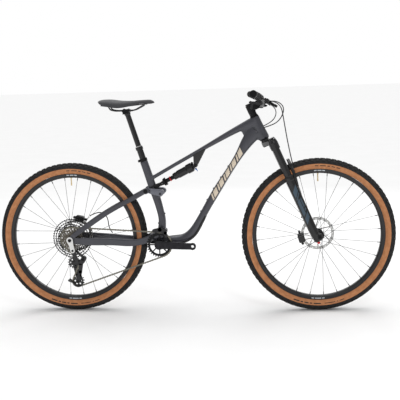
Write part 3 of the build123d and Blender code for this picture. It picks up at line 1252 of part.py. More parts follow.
# ---- everything, node by node ----------------------------------------------------------------------
def main():
    os.makedirs("parts", exist_ok=True)
    rear = Pos(*world(*REAR_AXLE))
    front = STEERED * Pos(FORK_OFFSET, 0, 0)
    rear_flange = 25.0
    front_flange = 22.0
    last_cog = CHAIN_Y + (11 - DRIVEN_COG) * COG_SPACING
    nodes = {
        "front_triangle": front_triangle,
        "frame_bearings": frame_bearings,
        "frame_pivot_pins": frame_pivot_pins,
        "seat_clamp": seat_clamp,
        "dropper_outer": dropper_outer,
        "down_tube_guard": down_tube_guard,
        "chain_guide": chain_guide,
        "chainstays": chainstays,
        "rear_axle": rear_axle,
        "seatstays": seatstays,
        "rear_caliper": rear_caliper,
        "rocker_link": rocker_link,
        "link_bolts": link_bolts,
        "shock_can": shock_can,
        "shock_shaft": shock_shaft,
        "shock_yoke": shock_yoke,
        "shock_lever": shock_lever,
        "crank_arms": crank_arms,
        "chainring": chainring,
        "cassette": cassette,
        "chain": chain,
        "derailleur_mount": derailleur_mount,
        "derailleur_linkage": derailleur_linkage,
        "derailleur_cage": derailleur_cage,
        "upper_jockey_wheel": lambda: jockey_wheel(GUIDE_WHEEL),
        "lower_jockey_wheel": lambda: jockey_wheel(TENSION_WHEEL),
        "fork_upper": fork_upper,
        "fork_lowers": fork_lowers,
        "front_axle": front_axle,
        "front_caliper": front_caliper,
        "damper_knob": damper_knob,
        "rebound_knob": rebound_knob,
        "headset_spacers": headset_spacers,
        "stem": stem,
        "handlebar": handlebar,
        "grips": grips,
        "brake_master_cylinders": brake_master_cylinders,
        "right_brake_lever": lambda: brake_lever(-1),
        "left_brake_lever": lambda: brake_lever(1),
        "shifter_pod": shifter_pod,
        "dropper_remote": dropper_remote,
        "shift_paddle": lambda: thumb_paddle(-1),
        "dropper_paddle": lambda: thumb_paddle(1),
        "dropper_stanchion": dropper_stanchion,
        "saddle_clamp": saddle_clamp,
        "saddle_base": saddle_base,
        "saddle_pad": saddle_pad,
        "front_brake_hose": front_brake_hose,
        "rear_brake_hose": rear_brake_hose,
        "dropper_cable": dropper_cable,
        "rear_tyre": lambda: rear * tyre(),
        "rear_rim": lambda: rear * rim(),
        "rear_spokes": lambda: group([rear * s for s in spoke_set(rear_flange, 34, -20)]),
        "rear_hub": lambda: rear * hub(REAR_HUB_HALF, rear_flange, 34, -20, REAR_ROTOR_Y, last_cog + 3,
                                       AXLE_R + RUN_FIT, 11),
        "rear_rotor": lambda: rear * Pos(0, REAR_ROTOR_Y, 0) * rotor(),
        "front_tyre": lambda: front * tyre(),
        "front_rim": lambda: front * rim(),
        "front_spokes": lambda: group([front * s for s in spoke_set(front_flange, 24, -33)]),
        "front_hub": lambda: front * hub(FRONT_HUB_HALF, front_flange, 24, -33, FRONT_ROTOR_Y, -FRONT_HUB_HALF,
                                         FRONT_AXLE_R + RUN_FIT, 13),
        "front_rotor": lambda: front * Pos(0, FRONT_ROTOR_Y, 0) * rotor(),
    }
    for name, maker in nodes.items():
        save(maker(), name)
    print("cage angle %.1f" % degrees(CAGE_ANGLE), "lower wheel", TENSION_WHEEL)


main()
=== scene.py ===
"""The looks of a full-suspension mountain bike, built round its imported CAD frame.

Metres, in the frame's own axes: X forward, Y to the rider's left, Z up. Sizes that name a length in
millimetres are multiplied by MM where they are used. New pieces are surfaces of two parameters on a
grid, or a section carried along a path, worked out as whole arrays.
"""
import json

import bmesh
import bpy
import numpy as np
from mathutils import Matrix, Vector


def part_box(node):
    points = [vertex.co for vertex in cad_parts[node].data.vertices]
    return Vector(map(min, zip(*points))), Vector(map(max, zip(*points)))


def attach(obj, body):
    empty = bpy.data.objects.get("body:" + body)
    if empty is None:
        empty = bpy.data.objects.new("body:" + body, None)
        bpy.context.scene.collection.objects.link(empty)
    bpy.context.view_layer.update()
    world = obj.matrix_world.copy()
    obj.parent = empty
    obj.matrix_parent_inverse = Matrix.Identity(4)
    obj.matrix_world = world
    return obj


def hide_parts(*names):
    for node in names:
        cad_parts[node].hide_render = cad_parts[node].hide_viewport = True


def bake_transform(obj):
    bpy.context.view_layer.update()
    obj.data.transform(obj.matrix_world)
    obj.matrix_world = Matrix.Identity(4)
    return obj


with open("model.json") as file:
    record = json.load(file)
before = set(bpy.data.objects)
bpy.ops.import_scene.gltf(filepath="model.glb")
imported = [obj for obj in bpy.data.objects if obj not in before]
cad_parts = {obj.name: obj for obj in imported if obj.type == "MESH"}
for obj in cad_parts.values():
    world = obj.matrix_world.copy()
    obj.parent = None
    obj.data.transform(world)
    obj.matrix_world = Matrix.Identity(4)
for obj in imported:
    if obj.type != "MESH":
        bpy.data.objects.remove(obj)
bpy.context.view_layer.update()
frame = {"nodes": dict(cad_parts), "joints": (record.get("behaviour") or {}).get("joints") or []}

MM = 0.001
TAU = 2 * np.pi
JOINTS = {joint["name"]: joint for joint in frame["joints"]}
NODES = frame["nodes"]


def joint_at(name):
    return np.array(JOINTS[name]["pos_m"], float)


def joint_axis(name):
    axis = np.array(JOINTS[name]["axis"], float)
    return axis / np.linalg.norm(axis)


def middle_of(node):
    low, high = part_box(node)
    return np.array((low + high) / 2)


def unit(v):
    return v / np.linalg.norm(v, axis=-1, keepdims=True)


class Axes:
    """A local frame: a point and three square directions."""

    def __init__(self, origin, x, y, z):
        self.origin, self.x, self.y, self.z = (np.asarray(v, float) for v in (origin, x, y, z))

    def __call__(self, x, y, z):
        """Points given as arrays of local coordinates in millimetres."""
        x, y, z = np.broadcast_arrays(x, y, z)
        local = x[..., None] * self.x + y[..., None] * self.y + z[..., None] * self.z
        return self.origin + local * MM

    def moved(self, x, y, z):
        return Axes(self(x, y, z), self.x, self.y, self.z)


def axes_about(origin, axle, up=(0, 0, 1)):
    """Axes whose y is the axle and whose z is as near to up as it can be."""
    y = unit(np.asarray(axle, float))
    z = np.asarray(up, float)
    z = unit(z - (z @ y) * y)
    return Axes(origin, np.cross(y, z), y, z)


REAR = axes_about(joint_at("rear_wheel_spin"), joint_axis("rear_wheel_spin"))
FRONT = axes_about(joint_at("front_wheel_spin"), joint_axis("front_wheel_spin"))
HALF_BASE = -REAR.origin[0] / MM
GROUND = Axes((-HALF_BASE * MM, 0, 0), (1, 0, 0), (0, 1, 0), (0, 0, 1))
# Steering axes: z up along the steering axis, y to the left of the turned bars, x ahead.
STEER_UP = joint_axis("steering")
STEER_Y = unit(joint_axis("front_wheel_spin"))
STEER = Axes(joint_at("steering"), np.cross(STEER_Y, STEER_UP), STEER_Y, STEER_UP)
STEM_UP = 683.0
STEM_LENGTH = 55.0
HEAD_LEAN = np.arccos(STEER_UP[2])


def turned_axes(axes, angle):
    """The axes turned about their own y, from z towards x."""
    c, s = np.cos(angle), np.sin(angle)
    return Axes(axes.origin, c * axes.x - s * axes.z, axes.y, s * axes.x + c * axes.z)


BARS = turned_axes(STEER.moved(STEM_LENGTH, 0, STEM_UP), HEAD_LEAN)


# ---- mesh making -----------------------------------------------------------------------------------
def add_mesh(name, vertices, faces, body, finishes, index=None, smooth=True, edge_angle=35):
    mesh = bpy.data.meshes.new(name)
    mesh.from_pydata(np.asarray(vertices, float).reshape(-1, 3).tolist(), [], faces)
    for finish in finishes if isinstance(finishes, (list, tuple)) else [finishes]:
        mesh.materials.append(finish)
    if index is not None:
        mesh.polygons.foreach_set("material_index", np.asarray(index, np.int32))
    outward(mesh)
    if smooth:
        mesh.shade_smooth()
        mesh.set_sharp_from_angle(angle=np.radians(edge_angle))
    piece = bpy.data.objects.new(name, mesh)
    bpy.context.scene.collection.objects.link(piece)
    if body:
        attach(piece, body)
    return piece


def outward(mesh):
    work = bmesh.new()
    work.from_mesh(mesh)
    bmesh.ops.recalc_face_normals(work, faces=work.faces)
    work.to_mesh(mesh)
    work.free()


def grid_faces(rows, columns, wrap_rows=False, wrap_columns=True, first=0):
    """Quads of a grid whose vertex (i, j) is i * columns + j."""
    i = np.arange(rows if wrap_rows else rows - 1)
    j = np.arange(columns if wrap_columns else columns - 1)
    i, j = np.meshgrid(i, j, indexing="ij")
    i2 = (i + 1) % rows
    j2 = (j + 1) % columns
    quads = np.stack([i * columns + j, i * columns + j2, i2 * columns + j2, i2 * columns + j], -1)
    return (quads.reshape(-1, 4) + first).tolist()


def tube_parts(points, first=0):
    """A grid (along, round, 3) as vertices and faces, with a flat cap on both ends."""
    rows, columns = points.shape[:2]
    faces = grid_faces(rows, columns, first=first)
    faces.append([first + k for k in range(columns)])
    faces.append([first + (rows - 1) * columns + k for k in range(columns)])
    return points.reshape(-1, 3), faces


def joined(parts):
    """Several (vertices, faces) as one, with the faces renumbered."""
    vertices, faces, start = [], [], 0
    for points, quads in parts:
        vertices.append(points)
        faces.extend([[k + start for k in face] for face in quads])
        start += len(points)
    return np.concatenate(vertices), faces


def repeated(points, faces):
    """Many copies of one small shape: points (copies, corners, 3) and one copy's faces."""
    copies, corners = points.shape[:2]
    everything = []
    for face in faces:
        everything.extend((np.array(face) + np.arange(copies)[:, None] * corners).tolist())
    return points.reshape(-1, 3), everything


def lathe(axes, profile, steps=48):
    """A profile of (radius, y) turned about the axes' y: a point goes to (r cos a, y, r sin a)."""
    profile = np.asarray(profile, float)
    angle = np.linspace(0, TAU, steps, endpoint=False)
    radius, along = profile[:, :1], profile[:, 1:2]
    return axes(radius * np.cos(angle), along + 0 * angle, radius * np.sin(angle))


def turned_piece(name, axes, profile, body, finish, steps=48):
    return add_mesh(name, *tube_parts(lathe(axes, profile, steps)), body, finish)


def smooth_line(knots, count):
    """A natural cubic through rows of knots, at count even steps of its chord length."""
    knots = np.asarray(knots, float)
    gaps = np.linalg.norm(np.diff(knots[:, :3], axis=0), axis=1)
    t = np.concatenate([[0], np.cumsum(gaps)])
    n = len(t)
    system = np.zeros((n, n))
    right = np.zeros((n, knots.shape[1]))
    system[0, 0] = system[-1, -1] = 1
    for k in range(1, n - 1):
        system[k, k - 1:k + 2] = gaps[k - 1], 2 * (gaps[k - 1] + gaps[k]), gaps[k]
        right[k] = 6 * ((knots[k + 1] - knots[k]) / gaps[k] - (knots[k] - knots[k - 1]) / gaps[k - 1])
    bend = np.linalg.solve(system, right)
    at = np.linspace(0, t[-1], count)
    k = np.clip(np.searchsorted(t, at, side="right") - 1, 0, n - 2)
    h = gaps[k][:, None]
    a = (t[k + 1] - at)[:, None]
    b = (at - t[k])[:, None]
    return ((bend[k] * a ** 3 + bend[k + 1] * b ** 3) / (6 * h) + (knots[k] / h - bend[k] * h / 6) * a
            + (knots[k + 1] / h - bend[k + 1] * h / 6) * b)


def squircle(angle, power):
    """A unit circle swelled towards its corners: cos and sin raised to 2 / power, sign kept."""
    c, s = np.cos(angle), np.sin(angle)
    return np.sign(c) * np.abs(c) ** (2 / power), np.sign(s) * np.abs(s) ** (2 / power)


def oval_tube(stations, count=60, around=40, power=2.7, axes=GROUND):
    """A frame tube: ovals of (x, y, z, depth, width) carried along a smooth line, square to it."""
    line = smooth_line(stations, count)
    middle, depth, width = line[:, :3], line[:, 3:4], line[:, 4:5]
    along = unit(np.gradient(middle, axis=0))
    side = np.array([0.0, 1.0, 0.0])
    side = unit(side - (along @ side)[:, None] * along)
    deep = np.cross(side, along)
    angle = np.linspace(0, TAU, around, endpoint=False)
    c, s = squircle(angle, power)
    local = (middle[:, None] + (depth / 2 * c)[..., None] * deep[:, None]
             + (width / 2 * s)[..., None] * side[:, None])
    return axes(local[..., 0], local[..., 1], local[..., 2])


def hull_outline(circles, count=64):
    """The outline round some circles (x, z, r): its support in each direction, as points in order."""
    angle = np.linspace(0, TAU, count, endpoint=False)
    circles = np.asarray(circles, float)
    reach = (circles[:, 0, None] * np.cos(angle) + circles[:, 1, None] * np.sin(angle) + circles[:, 2, None])
    best = np.argmax(reach, axis=0)
    return np.stack([circles[best, 0] + circles[best, 2] * np.cos(angle),
                     circles[best, 1] + circles[best, 2] * np.sin(angle)], -1)


def pillow_plate(outline, y0, y1, edge=1.2, axes=GROUND):
    """An outline in x and z given thickness in y, its two rims rounded by a quarter ellipse."""
    outline = np.asarray(outline, float)
    before, after = np.roll(outline, 1, 0), np.roll(outline, -1, 0)
    run = unit(after - before + 1e-9)
    out = np.stack([run[:, 1], -run[:, 0]], -1)
    turn = np.linspace(0, np.pi / 2, 4)
    inset = np.concatenate([edge * (1 - np.sin(turn)), edge * (1 - np.sin(turn[::-1]))])
    low, high = min(y0, y1), max(y0, y1)
    height = np.concatenate([low + edge * (1 - np.cos(turn)), high - edge * (1 - np.cos(turn[::-1]))])
    spot = outline[None] - inset[:, None, None] * out[None]
    return axes(spot[..., 0], height[:, None] + 0 * spot[..., 0], spot[..., 1])


# ---- finishes --------------------------------------------------------------------------------------
class Finish:
    """A shader being put together: a principled surface with helpers for its patterns."""

    def __init__(self, name, roughness, metallic=0.0, coat=0.0, sheen=0.0, specular=0.5):
        self.material = bpy.data.materials.new(name)
        self.material.use_nodes = True
        self.tree = self.material.node_tree
        self.tree.nodes.clear()
        self.surface = self.add("ShaderNodeBsdfPrincipled")
        output = self.add("ShaderNodeOutputMaterial")
        self.tree.links.new(self.surface.outputs["BSDF"], output.inputs["Surface"])
        settings = {"Metallic": metallic, "Coat Weight": coat, "Sheen Weight": sheen,
                    "Roughness": roughness, "Specular IOR Level": specular, "Coat Roughness": 0.12}
        for socket, value in settings.items():
            self.surface.inputs[socket].default_value = value

    def add(self, kind, **values):
        node = self.tree.nodes.new(kind)
        for key, value in values.items():
            setattr(node, key, value)
        return node

    def link(self, source, target):
        self.tree.links.new(source, target)

    def place(self, source="Object", stretch=(1, 1, 1), turn=(0, 0, 0)):
        coordinates = self.add("ShaderNodeTexCoord")
        mapping = self.add("ShaderNodeMapping")
        mapping.inputs["Scale"].default_value = stretch
        mapping.inputs["Rotation"].default_value = turn
        self.link(coordinates.outputs[source], mapping.inputs["Vector"])
        return mapping.outputs["Vector"]

    def noise(self, scale, detail=3.0, stretch=(1, 1, 1), source="Object"):
        texture = self.add("ShaderNodeTexNoise")
        texture.inputs["Scale"].default_value = scale
        texture.inputs["Detail"].default_value = detail
        self.link(self.place(source, stretch), texture.inputs["Vector"])
        return texture.outputs["Fac"]

    def cells(self, scale, source="Object", feature="F1", stretch=(1, 1, 1)):
        texture = self.add("ShaderNodeTexVoronoi", feature=feature)
        texture.inputs["Scale"].default_value = scale
        self.link(self.place(source, stretch), texture.inputs["Vector"])
        return texture.outputs["Distance"]

    def ramp(self, value, stops):
        """A colour ramp from (place, colour) stops."""
        node = self.add("ShaderNodeValToRGB")
        elements = node.color_ramp.elements
        while len(elements) < len(stops):
            elements.new(0.5)
        for element, (place, colour) in zip(elements, stops):
            element.position = place
            element.color = (*colour, 1) if len(colour) == 3 else colour
        self.link(value, node.inputs["Fac"])
        return node.outputs["Color"]

    def spread(self, value, low, high, start=0.3, end=0.7):
        """A value between 0 and 1 rescaled to run from low to high."""
        node = self.add("ShaderNodeMapRange")
        for socket, number in (("From Min", start), ("From Max", end), ("To Min", low), ("To Max", high)):
            node.inputs[socket].default_value = number
        self.link(value, node.inputs["Value"])
        return node.outputs["Result"]

    def sum(self, first, second, share=1.0):
        node = self.add("ShaderNodeMath", operation="MULTIPLY_ADD")
        node.inputs[1].default_value = share
        self.link(second, node.inputs[0])
        self.link(first, node.inputs[2])
        return node.outputs["Value"]

    def colour(self, source):
        self.link(source, self.surface.inputs["Base Color"])

    def rough(self, source, low, high):
        self.link(self.spread(source, low, high), self.surface.inputs["Roughness"])

    def bump(self, height, distance, strength=1.0):
        node = self.add("ShaderNodeBump")
        node.inputs["Distance"].default_value = distance
        node.inputs["Strength"].default_value = strength
        self.link(height, node.inputs["Height"])
        self.link(node.outputs["Normal"], self.surface.inputs["Normal"])


def shades(colour, spread):
    """A colour a little darker and a little lighter than the given one."""
    colour = np.asarray(colour, float)
    return tuple(colour * (1 - spread)), tuple(np.minimum(colour * (1 + spread), 1))


def satin_paint(name, colour, roughness=0.34, coat=0.35, flake=0.25):
    """Paint with a fine metallic fleck, faint clouding and handling marks in its gloss."""
    finish = Finish(name, roughness, metallic=0.25, coat=coat)
    dark, light = shades(colour, flake)
    fleck = finish.cells(2600)
    cloud = finish.noise(9, 2)
    both = finish.sum(fleck, cloud, 0.6)
    finish.colour(finish.ramp(both, [(0.25, dark), (0.95, light)]))
    finish.rough(finish.noise(38, 4), roughness - 0.06, roughness + 0.08)
    finish.bump(fleck, 0.00002, 0.25)
    return finish.material


def anodised(name, colour, roughness=0.36):
    """Bead-blasted and dyed aluminium: a very fine grain and small rubbed patches."""
    finish = Finish(name, roughness, metallic=0.75)
    dark, light = shades(colour, 0.22)
    finish.colour(finish.ramp(finish.noise(70, 4), [(0.35, dark), (0.7, light)]))
    finish.rough(finish.noise(210, 3), roughness - 0.08, roughness + 0.1)
    finish.bump(finish.noise(3800, 2), 0.00003, 0.35)
    return finish.material


def brushed(name, colour, roughness=0.28, stretch=(1, 1, 1), scale=900):
    """Bare metal with fine drawn lines along one direction."""
    finish = Finish(name, roughness, metallic=1.0)
    lines = finish.noise(scale, 4, stretch)
    dark, light = shades(colour, 0.16)
    finish.colour(finish.ramp(lines, [(0.3, dark), (0.7, light)]))
    finish.rough(lines, roughness - 0.08, roughness + 0.12)
    finish.bump(lines, 0.00002, 0.4)
    return finish.material


def moulded(name, colour, roughness=0.6, grain=1800):
    """Glass-filled plastic with a spark-eroded grain."""
    finish = Finish(name, roughness, specular=0.4)
    dark, light = shades(colour, 0.2)
    finish.colour(finish.ramp(finish.noise(40, 3), [(0.35, dark), (0.7, light)]))
    finish.rough(finish.noise(120, 3), roughness - 0.08, roughness + 0.08)
    finish.bump(finish.cells(grain), 0.00004, 0.4)
    return finish.material


def tread_rubber():
    """Tyre compound: matt, dusty in random patches, with a fine scuffed grain."""
    finish = Finish("tread_rubber", 0.8, specular=0.3)
    dust = finish.noise(55, 6)
    finish.colour(finish.ramp(dust, [(0.3, (0.010, 0.010, 0.011)), (0.75, (0.034, 0.033, 0.032))]))
    finish.rough(dust, 0.68, 0.92)
    finish.bump(finish.noise(1500, 5), 0.00012, 0.6)
    return finish.material


def tan_casing():
    """Sidewall: two crossing plies of thread under tan rubber, a little uneven in colour."""
    finish = Finish("tan_casing", 0.72, specular=0.3)
    cloud = finish.noise(16, 5, source="UV", stretch=(6, 1, 1))
    finish.colour(finish.ramp(cloud, [(0.25, (0.42, 0.165, 0.066)), (0.6, (0.56, 0.245, 0.108)),
                                      (0.85, (0.62, 0.29, 0.14))]))
    plies = []
    for turn in (0.7, -0.7):
        wave = finish.add("ShaderNodeTexWave", bands_direction="X")
        wave.inputs["Scale"].default_value = 22
        finish.link(finish.place("UV", (60, 6, 1), (0, 0, turn)), wave.inputs["Vector"])
        plies.append(wave.outputs["Fac"])
    finish.bump(finish.sum(plies[0], plies[1]), 0.00008, 0.5)
    finish.rough(cloud, 0.62, 0.8)
    return finish.material


def saddle_skin():
    """Microfibre cover: a pebbled grain with a soft sheen."""
    finish = Finish("saddle_skin", 0.58, sheen=0.25, specular=0.35)
    grain = finish.cells(620)
    cloud = finish.noise(22, 4)
    finish.colour(finish.ramp(finish.sum(grain, cloud, 0.7),
                              [(0.2, (0.016, 0.016, 0.018)), (0.95, (0.05, 0.05, 0.055))]))
    finish.rough(cloud, 0.5, 0.68)
    finish.bump(grain, 0.00018, 0.55)
    return finish.material


PAINT = satin_paint("slate_paint", (0.046, 0.047, 0.058))
LINK_PAINT = satin_paint("link_paint", (0.12, 0.125, 0.15), 0.36)
GLOSS_BLACK = satin_paint("gloss_black", (0.006, 0.006, 0.007), 0.24, 0.25, 0.15)
BLACK_ANODISED = anodised("black_anodised", (0.012, 0.012, 0.013))
CRANK_BLACK = anodised("crank_black", (0.022, 0.022, 0.025), 0.38)
RIM_BLACK = satin_paint("rim_black", (0.013, 0.013, 0.014), 0.38, 0.15, 0.3)
SILVER = brushed("silver", (0.74, 0.74, 0.73), 0.3)
ROTOR_STEEL = brushed("rotor_steel", (0.50, 0.50, 0.49), 0.3, scale=500)
SPOKE_STEEL = brushed("spoke_steel", (0.13, 0.13, 0.135), 0.4, scale=1400)
CHAIN_NICKEL = brushed("chain_nickel", (0.19, 0.18, 0.15), 0.34, scale=1200)
COG_NICKEL = brushed("cog_nickel", (0.125, 0.112, 0.092), 0.32, scale=1400)
BRASS = brushed("brass", (0.70, 0.56, 0.33), 0.3, scale=1500)
TREAD = tread_rubber()
TAN = tan_casing()
SADDLE = saddle_skin()
RUBBER = moulded("black_rubber", (0.016, 0.016, 0.017), 0.72, 1300)
PLASTIC = moulded("black_plastic", (0.022, 0.022, 0.024), 0.5)
HOSE_SKIN = moulded("hose_skin", (0.02, 0.02, 0.022), 0.42, 2600)
BLUE = anodised("blue_anodised", (0.03, 0.14, 0.46), 0.3)
RED = anodised("red_anodised", (0.62, 0.02, 0.025), 0.3)
CREAM = satin_paint("cream_ink", (0.72, 0.62, 0.49), 0.45, 0.1, 0.06)
SLATE_INK = satin_paint("slate_ink", (0.045, 0.075, 0.105), 0.4, 0.2, 0.12)
PALE_INK = satin_paint("pale_ink", (0.55, 0.58, 0.62), 0.42, 0.1, 0.05)
DARK_INK = satin_paint("dark_ink", (0.035, 0.026, 0.022), 0.6, 0.0, 0.1)

NODE_FINISH = {
    "frame_bearings": BLACK_ANODISED, "frame_pivot_pins": BLACK_ANODISED, "seat_clamp": BLACK_ANODISED,
    "dropper_outer": GLOSS_BLACK, "chain_guide": PLASTIC, "chainstays": PAINT, "seatstays": PAINT,
    "rear_axle": SILVER, "rear_caliper": GLOSS_BLACK, "rocker_link": LINK_PAINT, "link_bolts": BLACK_ANODISED,
    "shock_can": GLOSS_BLACK, "shock_shaft": BLACK_ANODISED, "shock_yoke": BLACK_ANODISED,
    "shock_lever": BLUE,
    "crank_arms": CRANK_BLACK, "chainring": BLACK_ANODISED, "cassette": COG_NICKEL, "derailleur_mount": SILVER,
    "derailleur_linkage": GLOSS_BLACK, "derailleur_cage": BLACK_ANODISED, "upper_jockey_wheel": PLASTIC,
    "lower_jockey_wheel": PLASTIC, "fork_upper": GLOSS_BLACK, "fork_lowers": GLOSS_BLACK,
    "front_axle": BLACK_ANODISED, "front_caliper": GLOSS_BLACK, "damper_knob": BLACK_ANODISED,
    "rebound_knob": RED,
    "headset_spacers": BLACK_ANODISED, "stem": BLACK_ANODISED, "handlebar": BLACK_ANODISED,
    "brake_master_cylinders": GLOSS_BLACK, "right_brake_lever": BLACK_ANODISED,
    "left_brake_lever": BLACK_ANODISED, "shifter_pod": PLASTIC, "dropper_remote": BLACK_ANODISED,
    "shift_paddle": PLASTIC, "dropper_paddle": BLACK_ANODISED, "dropper_stanchion": GLOSS_BLACK,
    "saddle_clamp": BLACK_ANODISED, "saddle_base": PLASTIC, "rear_rim": RIM_BLACK, "front_rim": RIM_BLACK,
    "rear_spokes": SPOKE_STEEL, "front_spokes": SPOKE_STEEL, "rear_hub": BLACK_ANODISED,
    "front_hub": BLACK_ANODISED, "rear_rotor": ROTOR_STEEL, "front_rotor": ROTOR_STEEL}
for node, finish in NODE_FINISH.items():
    NODES[node].data.materials.clear()
    NODES[node].data.materials.append(finish)


# ---- camera, floor and light -----------------------------------------------------------------------
def camera():
    """A long lens on the drive side, turned a little left, tipped down and rolled by hand."""
    yaw, pitch, roll = np.radians((-6.3, -8.76, -1.8))
    look = np.array([np.sin(yaw) * np.cos(pitch), np.cos(yaw) * np.cos(pitch), np.sin(pitch)])
    right = unit(np.cross(look, (0, 0, 1)))
    up = np.cross(right, look)
    across = right * np.cos(roll) + up * np.sin(roll)
    upward = up * np.cos(roll) - right * np.sin(roll)
    data = bpy.data.cameras.new("view")
    data.lens = 73.44
    data.sensor_width = 36
    view = bpy.data.objects.new("view", data)
    place = Matrix.Identity(4)
    for row in range(3):
        place[row][0], place[row][1], place[row][2] = across[row], upward[row], -look[row]
    place[0][3], place[1][3], place[2][3] = 0.4615, -3.884, 1.147
    view.matrix_world = place
    bpy.context.scene.collection.objects.link(view)
    bpy.context.scene.camera = view


WALL_LIGHT = 0.5            # what the white walls give as light, where they show as 1


def studio():
    """A pale floor under white walls, a broad overhead light and two soft boxes."""
    floor = Finish("floor", 0.9, specular=0.1)
    floor.colour(floor.ramp(floor.noise(3, 2), [(0.3, (0.92, 0.92, 0.92)), (0.7, (0.94, 0.94, 0.94))]))
    half = 60.0
    corners = [(-half, -half, 0), (half, -half, 0), (half, half, 0), (-half, half, 0)]
    ground = add_mesh("floor", corners, [[0, 1, 2, 3]], None, floor.material, smooth=False)
    world = bpy.data.worlds.new("studio")
    world.use_nodes = True
    tree = world.node_tree
    background = tree.nodes["Background"]
    background.inputs["Color"].default_value = (1.0, 1.0, 1.0, 1.0)
    seen = tree.nodes.new("ShaderNodeLightPath")
    strength = tree.nodes.new("ShaderNodeMath")
    strength.operation = "MULTIPLY_ADD"
    strength.inputs[1].default_value = 1.0 - WALL_LIGHT
    strength.inputs[2].default_value = WALL_LIGHT
    tree.links.new(seen.outputs["Is Camera Ray"], strength.inputs[0])
    tree.links.new(strength.outputs["Value"], background.inputs["Strength"])
    bpy.context.scene.world = world
    sun = bpy.data.lights.new("overhead", "SUN")
    sun.energy = 1.7
    sun.angle = np.radians(60)
    overhead = bpy.data.objects.new("overhead", sun)
    overhead.rotation_mode = "QUATERNION"
    overhead.rotation_quaternion = Vector((0.0, -0.25, -1.0)).to_track_quat("-Z", "Y")
    bpy.context.scene.collection.objects.link(overhead)
    lamps = [("key", (1.5, -3.2, 3.4), 0.9, 24), ("rim", (0.6, 3.2, 2.2), 2.0, 20)]
    for name, spot, size, power in lamps:
        data = bpy.data.lights.new(name, "AREA")
        data.energy = power
        data.size = size
        lamp = bpy.data.objects.new(name, data)
        lamp.location = spot
        lamp.rotation_mode = "QUATERNION"
        lamp.rotation_quaternion = (Vector((0, 0, 0.5)) - lamp.location).to_track_quat("-Z", "Y")
        bpy.context.scene.collection.objects.link(lamp)
    bpy.context.scene.view_settings.view_transform = "Standard"


# ---- tyres -----------------------------------------------------------------------------------------
CASING_AT = 340.0           # radius of the casing's middle
CASING_HIGH = 25.7
CASING_HALF = 28.2
TREAD_EDGE = 84             # where tread rubber stops, degrees round the casing
WHEEL_STEPS = 288


def casing_point(phi, lift):
    """Radius and y on the casing, phi round it from the crown, lift above its skin."""
    return CASING_AT + (CASING_HIGH + lift) * np.cos(phi), (CASING_HALF + lift) * np.sin(phi)


def tyre(side, axes, body):
    """The casing is an oval arc from bead to bead with a second skin 2 mm inside it."""
    phi = np.radians(np.concatenate([np.linspace(-128, -TREAD_EDGE, 12),
                                     np.linspace(-TREAD_EDGE, TREAD_EDGE, 37)[1:-1],
                                     np.linspace(TREAD_EDGE, 128, 12)]))
    radius, y = casing_point(phi, 0)
    bead = np.array([[317.6, 16.0]])
    outer = np.concatenate([bead * (1, -1), np.stack([radius, y], -1), bead])
    radius, y = casing_point(phi[::-1], -2.2)
    inner = np.concatenate([bead - (0, 2.4), np.stack([radius, y], -1), (bead - (0, 2.4)) * (1, -1)])
    loop = np.concatenate([outer, inner])
    points = np.swapaxes(lathe(axes, loop, WHEEL_STEPS), 0, 1)
    count = len(loop)
    faces = grid_faces(WHEEL_STEPS, count, wrap_rows=True)
    degrees_round = np.degrees(phi)
    middle = (degrees_round[1:] + degrees_round[:-1]) / 2
    strip = np.ones(count, int)
    strip[1:len(phi)] = (np.abs(middle) > TREAD_EDGE).astype(int)
    index = np.tile(strip, WHEEL_STEPS)
    piece = add_mesh(side + "_tyre_casing", points, faces, body, [TREAD, TAN], index)
    uv = piece.data.uv_layers.new(name="casing")
    corners = np.zeros(len(piece.data.loops), np.int32)
    piece.data.loops.foreach_get("vertex_index", corners)
    u = (corners // count) / WHEEL_STEPS
    v = (corners % count) / count
    uv.data.foreach_set("uv", np.stack([u, v], -1).astype(np.float32).ravel())
    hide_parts(side + "_tyre")
    return piece


def tread_blocks(side, axes, body):
    """Rows of tapered blocks: each is a bottom, a shoulder and a smaller top ring of four corners."""
    rows = [(9.5, 6.2, 1.55, 3.1, 0.0, 84), (30, 6.8, 1.5, 3.1, 0.5, 84), (51, 6.6, 1.6, 3.2, 0.05, 84),
            (72, 7.6, 1.35, 2.6, 0.55, 84)]
    corner = np.array([(-1, -1), (1, -1), (1, 1), (-1, 1)], float)
    blocks = []
    for phi, half_phi, half_theta, high, phase, count in rows:
        for hand in (-1, 1):
            step = np.arange(count) + phase + (0.25 if hand > 0 else 0)
            theta = TAU * step / count
            wide = np.where(np.arange(count) % 2, 1.0, 0.82)
            rings = []
            for scale, lift in ((1.12, -0.6), (1.0, high - 0.5), (0.84, high)):
                p = np.radians(hand * phi + corner[:, 0] * half_phi * scale * wide[:, None])
                t = theta[:, None] + np.radians(corner[:, 1] * half_theta * 0.72 * scale)
                radius, y = casing_point(p, lift)
                rings.append(axes(radius * np.cos(t), y, radius * np.sin(t)))
            blocks.append(np.concatenate(rings, axis=1))
    points = np.concatenate(blocks)
    faces = [[0, 1, 2, 3], [8, 9, 10, 11]]
    for ring in (0, 4):
        faces += [[ring + k, ring + (k + 1) % 4, ring + 4 + (k + 1) % 4, ring + 4 + k] for k in range(4)]
    piece = add_mesh(side + "_tread_blocks", *repeated(points, faces), body, TREAD, smooth=False)


def wheel_patch(name, axes, body, bars, radius_of, finish):
    """Short printed bars on a wheel's side: each spans angles (a, b) and a share (v0, v1) of the band."""
    parts = []
    for hand in (-1, 1):
        for a, b, v0, v1 in bars:
            theta = np.radians(np.linspace(a, b, max(3, int(abs(b - a) * 2))))
            share = np.linspace(v0, v1, 3)
            radius, y = radius_of(share)
            grid = axes(radius[:, None] * np.cos(theta), hand * y[:, None], radius[:, None] * np.sin(theta))
            parts.append((grid.reshape(-1, 3), grid_faces(3, len(theta), wrap_columns=False)))
    piece = add_mesh(name, *joined(parts), body, finish)


